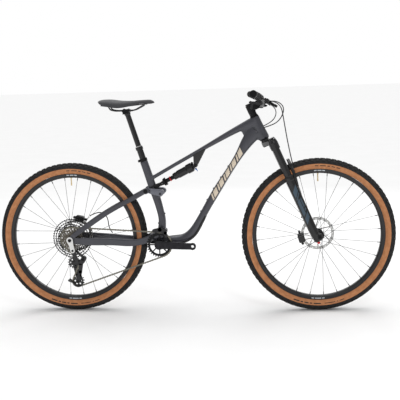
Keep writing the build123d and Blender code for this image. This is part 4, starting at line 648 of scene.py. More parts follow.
def casing_band(share):
    phi = np.radians(96 + 18 * share)
    return casing_point(phi, 0.25)


def rim_band(share):
    """The rim's sloping side wall, from its spoke bed to its edge."""
    return 304.5 + 11 * share, 14.65 + 2.1 * share + 0.25


def bar_row(start, widths, gap, low=0.15, high=0.85):
    bars = []
    at = start
    for width in widths:
        bars.append((at, at + width, low, high))
        at += width + gap
    return bars


def valve(side, axes, body):
    """The valve stem at the top of the rim, its lock ring and cap."""
    outward_up = Axes(axes.origin, axes.x, -axes.z, axes.y)
    profile = [(3.0, -303), (3.0, -296), (4.6, -296), (4.6, -293.5), (3.0, -293.5), (3.0, -268),
               (3.6, -267.5), (3.6, -260), (2.4, -257)]
    turned_piece(side + "_valve", outward_up, [(0.01, -303)] + profile + [(0.01, -257)], body, BRASS, 20)


def wheel(side, axes, body):
    tyre(side, axes, body)
    tread_blocks(side, axes, body)
    printed = bar_row(-112, (5, 2, 3.5, 2, 6), 1.1) + bar_row(-86, (9, 1.4, 4), 1.1, 0.3, 0.7)
    printed += bar_row(72, (3, 3, 2, 5, 3), 1.2, 0.25, 0.75)
    wheel_patch(side + "_casing_print", axes, body, printed, casing_band, DARK_INK)
    marks = bar_row(84, (2.2, 3.4, 2.2), 0.8, 0.3, 0.7) + bar_row(-97, (2.2, 5.5, 2.2), 0.8, 0.3, 0.7)
    wheel_patch(side + "_rim_print", axes, body, marks, rim_band, PALE_INK)
    valve(side, axes, body)


# ---- frame -----------------------------------------------------------------------------------------
TOP_TUBE = [(903, 0, 918, 48, 44), (850, 0, 896, 36, 42), (760, 0, 851, 27, 39), (645, 0, 789, 20, 37),
            (530, 0, 727, 18, 35), (416, 0, 664, 18, 33), (385, 0, 647, 18, 30)]
DOWN_TUBE = [(912, 0, 872, 66, 46), (880, 0, 839, 62, 50), (839, 0, 779, 43, 52), (721, 0, 599, 38, 54),
             (622, 0, 433, 39, 55), (588, 0, 384, 44, 58), (548, 0, 358, 42, 62), (500, 0, 352, 40, 66),
             (433, 0, 338, 42, 70)]
SEAT_TUBE = [(364, 0, 739.5, 37, 37), (383, 0, 678, 38, 36), (402, 0, 615, 39, 36), (421, 0, 556, 38, 36),
             (438, 0, 489, 35, 38), (444, 0, 450, 36, 42), (440, 0, 400, 40, 44), (433, 0, 345, 40, 44)]
FRAME_VOXEL = 0.0028
BB_AT = joint_at("crank_spin")
SEAT_TOP = (364.0, 740.0)
SEAT_LEAN = np.radians(90 - 73.1)


def cylinder_parts(axes, radius, y0, y1, steps=48):
    edge = 1.2
    profile = [(radius - edge, y0), (radius, y0 + edge), (radius, y1 - edge), (radius - edge, y1)]
    return tube_parts(lathe(axes, profile, steps))


def along_axes(origin, direction, side=(0, 1, 0)):
    """Axes whose y runs along a direction, for things turned about it."""
    return axes_about(origin, direction, side)


def evaluated(piece):
    """The piece's mesh with its modifiers applied, in place of the old one."""
    depsgraph = bpy.context.evaluated_depsgraph_get()
    depsgraph.update()
    mesh = bpy.data.meshes.new_from_object(piece.evaluated_get(depsgraph))
    piece.modifiers.clear()
    piece.data = mesh
    return piece


def shock_bracket():
    """The black bracket under the top tube: two cheeks beside the shock's eye and the block above it."""
    cheek = hull_outline([(617, 716, 8.5), (612, 766, 4), (661, 790, 5)])
    parts = [tube_parts(pillow_plate(cheek, hand * 13, hand * 18, 1.5)) for hand in (-1, 1)]
    block = hull_outline([(614, 768, 4), (638, 762, 4), (663, 792, 5)])
    parts.append(tube_parts(pillow_plate(block, -14, 14, 1.5)))
    piece = add_mesh("shock_bracket", *joined(parts), "frame", GLOSS_BLACK)


def frame_shell():
    """The main frame: its tubes, lugs and gusset melted into one skin by small cells, then relaxed."""
    head_axis = unit(np.array([-np.sin(HEAD_LEAN), 0, np.cos(HEAD_LEAN)]))
    head = along_axes(STEER.origin, head_axis)
    head_profile = [(24.0, 528.5), (26.8, 530), (26, 550), (23.5, 585), (22.5, 610), (22.5, 639),
                    (21.5, 640.6)]
    parts = [tube_parts(oval_tube(TOP_TUBE)), tube_parts(oval_tube(DOWN_TUBE, 80)),
             tube_parts(oval_tube(SEAT_TUBE, 70)), tube_parts(lathe(head, head_profile))]
    gusset = hull_outline([(905, 868, 14), (861, 858, 11), (846, 878, 7), (892, 902, 10), (925, 841, 12)])
    parts.append(tube_parts(pillow_plate(gusset, -15, 15, 6)))
    parts.append(cylinder_parts(Axes(BB_AT, (1, 0, 0), (0, 1, 0), (0, 0, 1)), 23.5, -36.5, 36.5))
    pivot = GROUND.moved(447, 0, 390)
    parts.append(cylinder_parts(Axes(pivot.origin, (1, 0, 0), (0, 1, 0), (0, 0, 1)), 17, -24, 24))
    rocker = GROUND.moved(445, 0, 584)
    parts.append(cylinder_parts(rocker, 12, -24.4, 24.4))
    lug = hull_outline([(425, 576, 16), (445, 584, 13)])
    parts.append(tube_parts(pillow_plate(lug, -17, 17, 3)))
    points, faces = joined(parts)
    shell = add_mesh("main_frame", points, faces, None, PAINT)
    shell.modifiers.new("cells", "REMESH").mode = "VOXEL"
    shell.modifiers["cells"].voxel_size = FRAME_VOXEL
    relax = shell.modifiers.new("relax", "SMOOTH")
    relax.factor = 0.5
    relax.iterations = 7
    evaluated(shell)
    cut = bored(shell)
    cut.data.materials.clear()
    cut.data.materials.append(PAINT)
    cut.data.shade_smooth()
    cut.data.set_sharp_from_angle(angle=np.radians(40))
    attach(cut, "frame")
    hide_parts("front_triangle")
    return cut


def bored(shell):
    """Cuts the bores for the post, the steerer, the cranks and the pivots."""
    head = along_axes(STEER.origin, unit(np.array([-np.sin(HEAD_LEAN), 0, np.cos(HEAD_LEAN)])))
    seat_axis = np.array([-np.sin(SEAT_LEAN), 0, np.cos(SEAT_LEAN)])
    seat = along_axes(GROUND(*np.array([SEAT_TOP[0], 0, SEAT_TOP[1]])), seat_axis)
    parts = [tube_parts(lathe(head, [(19.95, 500), (19.95, 660)])),
             tube_parts(lathe(seat, [(15.5, -225), (15.5, 30)])),
             tube_parts(lathe(Axes(BB_AT, (1, 0, 0), (0, 1, 0), (0, 0, 1)), [(20, -60), (20, 60)])),
             tube_parts(lathe(GROUND.moved(447, 0, 390), [(7, -60), (7, 60)])),
             tube_parts(lathe(GROUND.moved(445, 0, 584), [(6, -60), (6, 60)]))]
    cutter = add_mesh("cutter", *joined(parts), None, PAINT)
    tool = shell.modifiers.new("bores", "BOOLEAN")
    tool.operation = "DIFFERENCE"
    tool.object = cutter
    tool.solver = "EXACT"
    tool.use_self = True
    evaluated(shell)
    bpy.data.objects.remove(cutter)
    return shell


# ---- things that follow a tube's skin --------------------------------------------------------------
class Skin:
    """An oval tube's surface by its height: shares of its line and places across its side."""

    def __init__(self, stations, count=200, power=2.7):
        line = smooth_line(stations, count)
        self.middle, self.depth, self.width = line[:, :3], line[:, 3], line[:, 4]
        self.along = unit(np.gradient(self.middle, axis=0))
        self.deep = np.cross(np.array([0.0, 1.0, 0.0]), self.along)
        self.length = np.concatenate([[0], np.cumsum(np.linalg.norm(np.diff(self.middle, axis=0), axis=1))])
        self.power = power

    def at(self, distance, values):
        flat = np.interp(distance.ravel(), self.length, np.arange(len(self.length)))
        low = np.clip(flat.astype(int), 0, len(self.length) - 2)
        share = (flat - low)
        if values.ndim > 1:
            share = share[:, None]
        mixed = values[low] * (1 - share) + values[low + 1] * share
        return mixed.reshape(distance.shape + values.shape[1:])

    def side(self, distance, across, hand, lift):
        """A point on the side wall: across runs from -1 at the lower edge to 1 at the upper one."""
        middle = self.at(distance, self.middle)
        half_deep = self.at(distance, self.depth) / 2
        half_wide = self.at(distance, self.width) / 2
        bulge = (1 - np.abs(across) ** self.power) ** (1 / self.power)
        spot = middle + (half_deep * across)[..., None] * self.at(distance, self.deep)
        spot[..., 1] += hand * (half_wide * bulge + lift)
        return GROUND(spot[..., 0], spot[..., 1], spot[..., 2])

    def round(self, distance, angle, lift):
        """A point at an angle round the tube, 0 at its upper or inner face and a half turn below."""
        c, s = squircle(angle, self.power)
        deep = (self.at(distance, self.depth) / 2 + lift) * c
        wide = (self.at(distance, self.width) / 2 + lift) * s
        spot = self.at(distance, self.middle) + deep[..., None] * self.at(distance, self.deep)
        spot[..., 1] += wide
        return GROUND(spot[..., 0], spot[..., 1], spot[..., 2])


def cling(piece, target, lift):
    """Keeps a thin print a fixed height above the skin that it is printed on."""
    hold = piece.modifiers.new("cling", "SHRINKWRAP")
    hold.target = target
    hold.wrap_method = "NEAREST_SURFACEPOINT"
    hold.wrap_mode = "ABOVE_SURFACE"
    hold.offset = lift * MM
    return evaluated(piece)


GRAPHIC_START = 116.0       # along the down tube from its head, mm
GRAPHIC_STEP = 55.0
GRAPHIC_BARS = [(0, 30), (36, 10)]      # each step's bars: where one starts, and how long it is
GRAPHIC_EDGES = (-0.6, 0.7)
GRAPHIC_SLANT = 15.0


def down_tube_graphic(shell):
    """Plain slanted bars in cream ink: each is a leaning four-sided patch of the tube's side."""
    skin = Skin(DOWN_TUBE)
    parts = []
    for hand in (-1, 1):
        for start, length in [(step * GRAPHIC_STEP + a, b) for step in range(5) for a, b in GRAPHIC_BARS]:
            across = np.linspace(*GRAPHIC_EDGES, 12)[:, None] + np.zeros(14)
            distance = GRAPHIC_START + start + np.linspace(0, length, 14) - GRAPHIC_SLANT * across
            grid = skin.side(distance, across, hand, 0.2)
            parts.append((grid.reshape(-1, 3), grid_faces(12, 14, wrap_columns=False)))
    piece = add_mesh("down_tube_graphic", *joined(parts), None, CREAM)
    cling(piece, shell, 0.35)
    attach(piece, "frame")


def down_tube_guard():
    """A rubber skin round the lower face of the bend, 1.6 mm thick, its edges thinned."""
    skin = Skin(DOWN_TUBE)
    bottom = skin.length[-1]
    distance = np.linspace(bottom - 275, bottom - 88, 40)[:, None] + np.zeros(26)
    angle = np.pi + np.linspace(-1.15, 1.15, 26) + 0 * distance
    lift = 1.7 * np.minimum(1, np.minimum(np.linspace(0, 8, 40), np.linspace(8, 0, 40)))[:, None] + 0.3
    outer = skin.round(distance, angle, lift + 0 * angle)
    inner = skin.round(distance, angle, -1.2 + 0 * angle)
    ring = np.concatenate([outer, inner[:, ::-1]], axis=1)
    piece = add_mesh("down_tube_skin", *tube_parts(ring), "frame", RUBBER)
    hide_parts("down_tube_guard")


# ---- small turned things ---------------------------------------------------------------------------
def bolt_parts(origin, direction, radius, height):
    """A button head with a socket, turned about its own direction."""
    axes = along_axes(origin, direction, (0, 0, 1) if abs(direction[2]) < 0.8 else (1, 0, 0))
    hole = radius * 0.45
    profile = [(0.02, -height), (radius, -height), (radius, height * 0.45), (radius * 0.82, height),
               (hole, height), (hole, height * 0.15), (0.02, height * 0.15)]
    return tube_parts(lathe(axes, profile, 24))


def bolts(name, places, body, finish):
    """places are (origin in metres, direction, radius, height)."""
    piece = add_mesh(name, *joined([bolt_parts(*place) for place in places]), body, finish)
    return piece


def frame_hardware():
    """Bottle-cage and port screws on the tubes, and the main pivot's caps."""
    skin = Skin(DOWN_TUBE)
    down = []
    for distance in (215.0, 279.0, 343.0, 407.0, 471.0):
        spot = skin.round(np.array([distance]), np.array([0.0]), np.array([0.6]))[0]
        deep = skin.at(np.array([distance]), skin.deep)[0]
        down.append((spot, deep, 4.2, 2.2))
    seat = Skin(SEAT_TUBE)
    for distance, angle in ((272.0, np.pi), (318.0, 0.0)):
        spot = seat.round(np.array([distance]), np.array([angle]), np.array([0.6]))[0]
        deep = seat.at(np.array([distance]), seat.deep)[0] * np.cos(angle)
        down.append((spot, deep, 4.0, 2.4))
    bolts("bottle_screws", down, "frame", BLACK_ANODISED)
    caps = [(GROUND(447, hand * 41.0, 390), (0, hand, 0), 10.5, 2.0) for hand in (-1, 1)]
    bolts("main_pivot_caps", caps, "frame", BLACK_ANODISED)


def rocker():
    """Two thick side plates with rounded rims, from the stay's pivot to the seat tube's front."""
    ax, az, px, pz = 374, 598, 445, 584
    outline = hull_outline([(ax + 27, az - 1, 13.5), (px + 4, pz + 8, 13), (px, pz + 1, 14),
                            (px + 8, pz + 6, 11)], 96)
    parts = []
    for hand in (-1, 1):
        gap = np.hypot(outline[:, 0] - ax, outline[:, 1] - az)
        inside = gap < 20.5
        push = np.where(inside, 20.5 / np.maximum(gap, 1e-3), 1.0)
        bitten = np.stack([ax + (outline[:, 0] - ax) * push, az + (outline[:, 1] - az) * push], -1)
        parts.append(tube_parts(pillow_plate(bitten, hand * 25.0, hand * 45.0, 3.5)))
        tongue = hull_outline([(ax, az, 11.5), (ax + 30, az - 1, 12)])
        parts.append(tube_parts(pillow_plate(tongue, hand * 25.0, hand * 33.4, 1.2)))
    piece = add_mesh("rocker_plates", *joined(parts), "rocker", LINK_PAINT)
    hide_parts("rocker_link")


def shock_trim():
    """The travel ring on the shaft, the can's seal head and the charging valve's cap."""
    along = -unit(np.array(JOINTS["shock_stroke"]["axis"], float))
    shock = along_axes(joint_at("shock_front_pivot"), along)
    turned_piece("shock_travel_ring", shock, [(10.1, 138), (12.2, 139), (12.2, 143), (10.1, 144)],
                 "shock_body", RED, 32)
    turned_piece("shock_seal_head", shock, [(10.2, 119), (15.5, 119), (16.5, 120), (16.5, 121.5),
                 (10.2, 122.5)], "shock_body", BLACK_ANODISED, 40)
    cap = along_axes(joint_at("shock_front_pivot") + along * 30 * MM, (0.35, 0, 0.94))
    turned_piece("shock_valve_cap", cap, [(0.02, 19), (6, 19), (6, 27), (4.8, 29), (0.02, 29)], "shock_body",
                 BLACK_ANODISED, 24)


# ---- fork ------------------------------------------------------------------------------------------
LEG_AHEAD, LEG_Y, LEG_R = 28.0, 66.0, 21.0


def fork_print():
    """Long leaning bars printed on the outer faces of the lower legs."""
    parts = []
    bars = [(95, 125, -0.62, 0.62, 26), (132, 208, -0.62, 0.1, 20), (138, 150, 0.24, 0.62, 20),
            (156, 200, 0.24, 0.62, 20), (215, 223, -0.62, 0.62, 26), (229, 262, -0.62, 0.62, 26)]
    for hand in (-1, 1):
        for z0, z1, a0, a1, lean in bars:
            turn = np.linspace(a0, a1, 10)[:, None] + np.zeros(12)
            high = np.linspace(z0, z1, 12) + lean * turn
            radius = LEG_R + 0.25 + 0.5 * np.clip((high - 200) / 100, 0, 1)
            grid = STEER(LEG_AHEAD + radius * np.sin(turn), hand * (LEG_Y + radius * np.cos(turn)), high)
            parts.append((grid.reshape(-1, 3), grid_faces(10, 12, wrap_columns=False)))
    piece = add_mesh("fork_print", *joined(parts), "fork_lowers", SLATE_INK)


def fork_trim():
    """Dust seals where the stanchions enter the legs."""
    for hand, label in ((-1, "right"), (1, "left")):
        leg = along_axes(STEER(LEG_AHEAD, hand * LEG_Y, 0), STEER.z)
        profile = [(17.7, 314), (22.2, 314), (22.2, 320), (20, 323), (18.6, 325), (17.7, 325)]
        seal = turned_piece(label + "_dust_seal", leg, profile, "fork_lowers", RUBBER, 40)


# ---- saddle ----------------------------------------------------------------------------------------
SADDLE_LINE = [  # (x, top of the middle, rim, half of the width)
    (158, 1034, 1027, 26), (168, 1038, 1022, 50), (180, 1040, 1016, 62), (195, 1040.5, 1010, 69),
    (215, 1040, 1007, 71), (238, 1037.5, 1002, 69), (262, 1034, 999.5, 63), (295, 1032, 1003, 46),
    (328, 1032, 1009.5, 32), (352, 1033.5, 1014, 26), (372, 1034.5, 1016, 23), (395, 1035, 1015, 21),
    (412, 1033, 1015, 17), (422, 1028, 1017, 11), (427, 1023, 1019, 5)]


def saddle():
    """Sections across the length: a crowned top, rounded rims that roll under, and a hollow below.

    Round a section the angle goes once about; the top is a flattened half circle, and the underside is
    drawn up towards the shell. A relief channel and two sewn lines are pressed in by narrow bells.
    """
    line = smooth_line(np.array([(x, 0, top, rim, half) for x, top, rim, half in SADDLE_LINE], float), 110)
    angle = np.linspace(0, TAU, 96, endpoint=False)
    x, top, rim, half = (line[:, k:k + 1] for k in (0, 2, 3, 4))
    c, s = np.cos(angle), np.sin(angle)
    y = half * np.sign(c) * np.abs(c) ** 0.8
    upper = rim + (top - rim) * np.abs(s) ** 0.62
    lower = rim + 3.5 * np.abs(s) ** 0.8
    z = np.where(s >= 0, upper, lower)
    middle = np.clip((x - 175) / 25, 0, 1) * np.clip((405 - x) / 40, 0, 1)
    relief = 4.2 * middle * np.exp(-(y / (4.5 + 0.06 * half)) ** 2)
    seam = 0.9 * np.exp(-((np.abs(y) - 0.72 * half) / 1.3) ** 2) * np.clip((half - 14) / 10, 0, 1)
    z = z - np.where(s > 0, relief + seam, 0)
    piece = add_mesh("saddle_cover", *tube_parts(GROUND(x + 0 * y, y, z)), "saddle", SADDLE, edge_angle=60)
    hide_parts("saddle_pad")


def post_trim():
    """The silver ring on the post's collar."""
    seat_axis = np.array([-np.sin(SEAT_LEAN), 0, np.cos(SEAT_LEAN)])
    seat = along_axes(GROUND(np.array(SEAT_TOP[0]), np.array(0), np.array(SEAT_TOP[1])), seat_axis)
    ring = turned_piece("post_collar_ring", seat, [(13.2, 70.5), (16.2, 70.5), (16.8, 72), (16.4, 75.6),
                                                    (13.2, 76.2)], "frame", SILVER, 48)


# ---- bars ------------------------------------------------------------------------------------------
BAR_KNEE = (0.0, 130.0, 25.0)
BAR_SWEEP = np.tan(np.radians(10))
BAR_UPSWEEP = np.tan(np.radians(5))
GRIP_IN = 248.0
BAR_HALF = 380.0


def bar_axes(out, hand):
    """Axes on the bar's outer stretch whose y runs outboard along it."""
    run = out - BAR_KNEE[1]
    spot = BARS(-run * BAR_SWEEP, hand * out, BAR_KNEE[2] + run * BAR_UPSWEEP)
    along = -BAR_SWEEP * BARS.x + hand * BARS.y + BAR_UPSWEEP * BARS.z
    return along_axes(spot, along, BARS.z)


def grips():
    """Sleeves whose radius carries a diamond knurl, fading at the ends, between a lock ring and a plug."""
    length = (BAR_HALF - GRIP_IN) * np.sqrt(1 + BAR_SWEEP ** 2)
    for hand, label in ((-1, "right"), (1, "left")):
        axes = bar_axes(GRIP_IN, hand)
        along = np.linspace(10, length - 7, 110)[:, None]
        angle = np.linspace(0, TAU, 96, endpoint=False)
        knurl = np.cos(16 * angle + along * 0.55) * np.cos(16 * angle - along * 0.55)
        fade = np.clip((along - 14) / 4, 0, 1) * np.clip((length - 12 - along) / 4, 0, 1)
        swell = 0.7 * np.sin(np.pi * (along - 10) / (length - 17))
        radius = 15.0 + swell + fade * 0.75 * np.clip(knurl * 2.2, -0.6, 1)
        grid = axes(radius * np.cos(angle), along + 0 * angle, radius * np.sin(angle))
        piece = add_mesh(label + "_grip", *tube_parts(grid), "steering", RUBBER, edge_angle=50)
        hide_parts("grips")
        ring = turned_piece(label + "_lock_ring", axes, [(11.2, 0), (16.6, 0), (17, 0.6), (17, 9.2),
                                                         (16.4, 9.9), (11.2, 10)], "steering", BLACK_ANODISED)
        end = length - 7
        plug = turned_piece(label + "_bar_plug", axes, [(11.2, end), (16.2, end), (16.6, end + 2),
                                                        (16.4, end + 10), (14.5, end + 12), (0.02, end + 12.3)], "steering",
                            BLACK_ANODISED)


# ---- hoses -----------------------------------------------------------------------------------------
def hose(name, points, radius, finish):
    """A round hose on one smooth curve whose control points are the given route."""
    curve = bpy.data.curves.new(name, "CURVE")
    curve.dimensions = "3D"
    spline = curve.splines.new("NURBS")
    spline.points.add(len(points) - 1)
    spline.points.foreach_set("co", np.concatenate([points, np.ones((len(points), 1))], 1).ravel())
    spline.order_u = 3
    spline.use_endpoint_u = True
    curve.resolution_u = 10
    curve.bevel_depth = radius * MM
    curve.bevel_resolution = 4
    curve.use_fill_caps = True
    line = bpy.data.objects.new(name + "_line", curve)
    bpy.context.scene.collection.objects.link(line)
    depsgraph = bpy.context.evaluated_depsgraph_get()
    depsgraph.update()
    mesh = bpy.data.meshes.new_from_object(line.evaluated_get(depsgraph))
    bpy.data.objects.remove(line)
    mesh.materials.clear()
    mesh.materials.append(finish)
    mesh.shade_smooth()
    piece = bpy.data.objects.new(name, mesh)
    bpy.context.scene.collection.objects.link(piece)
    return piece


FRONT_HOSE = [(28, 162, 12), (50, 130, 12), (80, 90, 2), (98, 50, -20), (104, 22, -62), (112, 14, -116),
              (122, 18, -176), (134, 30, -236), (146, 44, -288), (158, 49, -336), (166, 48, -384),
              (184, 46, -430), (196, 44, -478), (196, 42, -522), (184, 41, -556)]
REAR_HOSE_AHEAD = [(28, -162, 12), (52, -128, 14), (84, -86, 4), (104, -42, -18), (102, -8, -52),
                   (76, -6, -88), (38, -14, -104), (8, -12, -112)]
REAR_HOSE_BEHIND = [(178, 70, 374), (166, 75, 388), (158, 77, 412), (157, 76, 440), (146, 74, 466),
                    (122, 74, 480), (92, 74, 474), (66, 70, 462)]
DROPPER_CABLE = [(8, 158, 6), (36, 128, 0), (62, 92, -14), (74, 54, -38), (66, 28, -68), (40, 24, -92),
                 (8, 25, -106)]


def hoses():
    """Each hose is one smooth tube along its route, set out in the bars' or the frame's axes; none is fixed to
    a body.
    """
    def route(axes, points):
        points = np.array(points, float)
        return axes(points[:, 0], points[:, 1], points[:, 2])

    line = route(BARS, FRONT_HOSE)
    piece = hose("front_hose", line, 2.5, HOSE_SKIN)
    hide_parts("front_brake_hose")
    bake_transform(piece)
    line = route(BARS, REAR_HOSE_AHEAD)
    piece = hose("rear_hose_ahead", line, 2.5, HOSE_SKIN)
    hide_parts("rear_brake_hose")
    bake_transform(piece)
    line = route(GROUND, REAR_HOSE_BEHIND)
    piece = hose("rear_hose_behind", line, 2.5, HOSE_SKIN)
    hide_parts("rear_brake_hose")
    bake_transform(piece)
    line = route(BARS, DROPPER_CABLE)
    piece = hose("dropper_line", line, 2.2, HOSE_SKIN)
    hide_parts("dropper_cable")
    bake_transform(piece)


# ---- chain -----------------------------------------------------------------------------------------
PITCH = 12.7
REAR_X, REAR_Y0, REAR_Z = (joint_at("cassette_spin") / MM) + np.array([HALF_BASE, 0, 0])
LINKS = 114
CHAIN_Y = middle_of("chain")[1] / MM
WHEELS = [("rear_wheel_spin", 28, 1), ("crank_spin", 30, 1), ("lower_jockey_spin", 14, 1),
          ("upper_jockey_spin", 14, -1)]


def chain_line():
    """The pins' places: straight runs tangent to the four wheels, and arcs on their pitch circles."""
    wheels = []
    for joint, teeth, sense in WHEELS:
        spot = joint_at(joint) / MM
        wheels.append((np.array([spot[0], spot[2]]), teeth * PITCH / TAU, sense))
    leave, meet = [], []
    for (c1, r1, s1), (c2, r2, s2) in zip(wheels, wheels[1:] + wheels[:1]):
        gap = c2 - c1
        heading = np.arctan2(gap[1], gap[0]) + np.arcsin((s2 * r2 - s1 * r1) / np.hypot(*gap))
        left = np.array([-np.sin(heading), np.cos(heading)])
        leave.append(c1 + s1 * r1 * left)
        meet.append(c2 + s2 * r2 * left)
    line = []
    for k in range(4):
        share = np.linspace(0, 1, 200)[:, None]
        line.append(leave[k] + (meet[k] - leave[k]) * share)
        centre, radius, sense = wheels[(k + 1) % 4]
        begin = np.arctan2(*(meet[k] - centre)[::-1])
        finish = np.arctan2(*(leave[(k + 1) % 4] - centre)[::-1])
        swept = (sense * (begin - finish)) % TAU
        turn = begin - sense * np.linspace(0, swept, 200)[1:-1]
        line.append(centre + radius * np.stack([np.cos(turn), np.sin(turn)], -1))
    line = np.concatenate(line)
    line = np.concatenate([line, line[:1]])
    travelled = np.concatenate([[0], np.cumsum(np.linalg.norm(np.diff(line, axis=0), axis=1))])
    at = np.arange(LINKS) * travelled[-1] / LINKS
    return np.stack([np.interp(at, travelled, line[:, 0]), np.interp(at, travelled, line[:, 1])], -1)


PLATE_LOBE = 4.15     # radius of a plate's rounded end
PLATE_WAIST = 1.35    # how far its edge dips half way
PLATE_INNER = 1.15    # inner face of a narrow plate, from the chain's middle plane
PLATE_OUTER = 1.9     # outer face of a narrow plate
ROLLER = 3.75         # radius of a roller


def chain():
    """Waisted side plates, wide and narrow by turns, with a pin and a roller at each joint."""
    pins = chain_line()
    ahead = np.roll(pins, -1, 0)
    along = unit(ahead - pins)
    normal = np.stack([-along[:, 1], along[:, 0]], -1)
    u = np.concatenate([np.linspace(-PLATE_LOBE, 0, 4)[:-1], np.linspace(0, PITCH, 6),
                        np.linspace(PITCH, PITCH + PLATE_LOBE, 4)[1:]])
    beyond = np.maximum(0, np.maximum(-u, u - PITCH))
    waist = PLATE_WAIST * np.sin(np.pi * np.clip(u / PITCH, 0, 1))
    half = np.sqrt(np.maximum(PLATE_LOBE ** 2 - beyond ** 2, 0)) - waist
    edge_u = np.concatenate([u, u[-2:0:-1]])
    edge_v = np.concatenate([half, -half[-2:0:-1]])
    flat = pins[:, None] + edge_u[:, None] * along[:, None] + edge_v[:, None] * normal[:, None]
    wide = (np.arange(LINKS) % 2 == 0)[:, None]
    rings = []
    for hand in (-1, 1):
        near = np.where(wide, PLATE_OUTER + 0.05, PLATE_INNER)
        far = np.where(wide, PLATE_OUTER + 0.8, PLATE_OUTER)
        for y in (near, far):
            rings.append(GROUND(flat[..., 0] + HALF_BASE, CHAIN_Y + hand * y, flat[..., 1]))
    corners = len(edge_u)
    sides = [[k, (k + 1) % corners, corners + (k + 1) % corners, corners + k] for k in range(corners)]
    sides += [list(range(corners)), list(range(corners, 2 * corners))]
    parts = [repeated(np.concatenate(rings[:2], 1), sides), repeated(np.concatenate(rings[2:], 1), sides)]
    steps = 10
    turn = np.linspace(0, TAU, steps, endpoint=False)
    profile = [(1.7, -2.95), (1.7, -1.1), (ROLLER, -1.05), (ROLLER, 1.05), (1.7, 1.1), (1.7, 2.95)]
    grid = [GROUND(pins[:, :1] + HALF_BASE + r * np.cos(turn), CHAIN_Y + y + 0 * turn,
                   pins[:, 1:] + r * np.sin(turn))
            for r, y in profile]
    faces = grid_faces(len(profile), steps)
    faces += [list(range(steps)), [(len(profile) - 1) * steps + k for k in range(steps)]]
    parts.append(repeated(np.concatenate(grid, 1), faces))
    piece = add_mesh("chain_links", *joined(parts), None, CHAIN_NICKEL, edge_angle=30)
    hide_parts("chain")
    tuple(GROUND(380, CHAIN_Y, 390))
    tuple(GROUND(120, CHAIN_Y, 370))
    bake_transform(piece)


# ---- derailleur ------------------------------------------------------------------------------------
def derailleur_link():
    """Two bars of the parallelogram, the knuckle with its spring housing, and the arm to the cage."""
    parts = []
    for circles, y0, y1, edge in (
            ([(12, 318, 9.5), (18, 282, 7), (30, 262, 7)], -86.5, -80, 1.5),
            ([(30, 312, 5), (62, 282, 6.5)], -86.5, -76, 1.8),
            ([(12, 318, 8), (31, 312, 5)], -86.5, -80, 1.5),
            ([(62, 276, 12), (52, 262, 13)], -84, -62, 3.5),
            ([(30, 262, 7), (52, 262, 10)], -82, -66, 2.5),
            ([(3, 250, 10), (32, 258, 9), (52, 262, 8)], -66, -60.4, 1.5)):
        parts.append(tube_parts(pillow_plate(hull_outline(circles), y0, y1, edge)))
    piece = add_mesh("derailleur_body", *joined(parts), "swingarm", GLOSS_BLACK)
    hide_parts("derailleur_linkage")
    places = [(GROUND(0, -94.5, 369), (0, -1, 0), 8.5, 2.2), (GROUND(12, -94.0, 318), (0, -1, 0), 5.5, 2.0),
              (GROUND(58, -85, 272), (0, -1, 0), 7, 1.8), (GROUND(62, -87.5, 282), (0, -1, 0), 4, 1.2)]
    bolts("derailleur_screws", places, "swingarm", BLACK_ANODISED)


def derailleur_arms():
    """The cage's two plates: a bowed arm to the lower wheel, a rim round it and a short tail behind."""
    wheel_x, wheel_z = (joint_at("lower_jockey_spin")[[0, 2]] / MM + np.array([HALF_BASE, 0]))
    parts = []
    rim = [(wheel_x + 27 * np.cos(turn), wheel_z + 27 * np.sin(turn), 3.2)
           for turn in np.radians(range(195, 346, 25))]
    runs = [[(3, 250, 9), (42, 250, 11)], [(42, 250, 11), (36, 205, 9)],
            [(36, 205, 9), (wheel_x, wheel_z, 11)],
            [rim[0], (wheel_x - 45, wheel_z + 4, 5)], [rim[-1], (36, 190, 5)]]
    runs += [list(pair) for pair in zip(rim, rim[1:])]
    straight = [[(3, 250, 12), (wheel_x, wheel_z, 11)]]
    for y0, y1, plates in ((-60.2, -56.6, runs), (-38.4, -36.4, straight + runs[3:4])):
        for circles in plates:
            parts.append(tube_parts(pillow_plate(hull_outline(circles), y0, y1, 0.9)))
    piece = add_mesh("derailleur_arms", *joined(parts), "derailleur_cage", GLOSS_BLACK)
    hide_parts("derailleur_cage")
    places = [(GROUND(x, -60.6, z), (0, -1, 0), 5.5, 1.4) for x, z in ((3, 250), (wheel_x, wheel_z))]
    bolts("jockey_screws", places, "derailleur_cage", BLACK_ANODISED)


COG_TEETH = (10, 12, 14, 16, 18, 21, 24, 28, 32, 36, 42, 48)
COG_PITCH = 3.4
COG_THICK = 1.7


def cog_ring(axes, y, teeth, inner):
    """A toothed ring: its outer edge is the pitch circle plus a clipped wave, one crest to a tooth."""
    steps = teeth * 6
    angle = np.linspace(0, TAU, steps, endpoint=False)
    wave = np.clip(np.cos(angle * teeth) * 2.6, -1.9, 2.3)
    outer = teeth * PITCH / TAU - 0.4 + wave
    inside = inner + 0 * angle
    rows = [(inside, y), (outer, y), (outer, y + COG_THICK), (inside, y + COG_THICK)]
    grid = np.stack([axes(r * np.cos(angle), at + 0 * angle, r * np.sin(angle)) for r, at in rows])
    return grid.reshape(-1, 3), grid_faces(4, steps, wrap_rows=True)


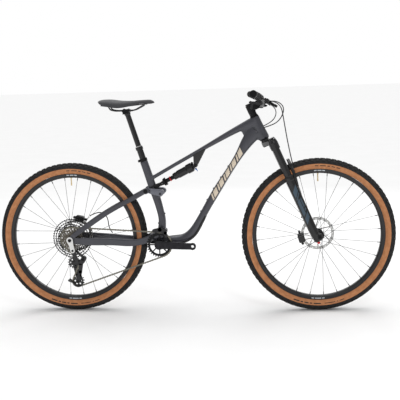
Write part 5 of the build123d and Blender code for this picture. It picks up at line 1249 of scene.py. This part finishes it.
def cogs():
    """Open cogs stepping out from the wheel: each a toothed ring on leaning arms over a dark drum."""
    axes = Axes(REAR.origin, REAR.x, REAR.y, REAR.z)
    low_y, high_y = (np.array(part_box("cassette"))[:, 1] - REAR.origin[1]) / MM
    first = low_y + 1.0
    black, nickel = [], []
    for k, teeth in enumerate(COG_TEETH):
        y = min(first + k * COG_PITCH, high_y - COG_THICK - 0.4)
        radius = teeth * PITCH / TAU
        wide = 5.2 if teeth > 20 else 4.2
        into = black if teeth > 30 else nickel
        into.append(cog_ring(axes, y, teeth, radius - wide))
        floor_radius = COG_TEETH[max(k - 1, 0)] * PITCH / TAU - 7 if k else 11
        for turn in np.radians(np.arange(0, 360, 360 / (8 if teeth > 30 else 6))) + 0.3 * k:
            reach = [(r * np.cos(turn + lean), r * np.sin(turn + lean))
                     for r, lean in ((max(floor_radius, 12), 0.0), (radius - wide + 1, 0.22))]
            arm = hull_outline([(REAR_X + reach[0][0], REAR_Z + reach[0][1], 2.3),
                                (REAR_X + reach[1][0], REAR_Z + reach[1][1], 1.7)], 16)
            into.append(tube_parts(pillow_plate(arm, REAR_Y0 + y + 0.1, REAR_Y0 + y + COG_THICK - 0.1, 0.2)))
    drum = [(12.0, low_y + 0.6), (13.5, low_y + 1.2), (17.5, low_y + 12), (24, low_y + 22), (30, high_y - 9),
            (30, high_y - 6)]
    nickel.append(tube_parts(lathe(axes, drum, 48)))
    for label, parts, finish in (("small_cogs", nickel, COG_NICKEL), ("large_cogs", black, BLACK_ANODISED)):
        piece = add_mesh(label, *joined(parts), "cassette", finish)
        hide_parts("cassette")


def guide_cover():
    """A moulded cheek over the ring's top, between the chain and the arm."""
    parts = []
    for circles in ([(418, 402, 8), (438, 411, 11)], [(438, 411, 11), (464, 394, 9)],
                    [(464, 394, 9), (468, 376, 6)]):
        parts.append(tube_parts(pillow_plate(hull_outline(circles), -55.4, -51.2, 1.4)))
    piece = add_mesh("guide_cover", *joined(parts), "frame", PLASTIC)


camera()
studio()
wheel("rear", REAR, "rear_wheel")
wheel("front", FRONT, "front_wheel")
shell = frame_shell()
shock_bracket()
down_tube_graphic(shell)
down_tube_guard()
frame_hardware()
rocker()
shock_trim()
fork_print()
fork_trim()
saddle()
post_trim()
grips()
hoses()
chain()
derailleur_link()
derailleur_arms()
cogs()
guide_cover()
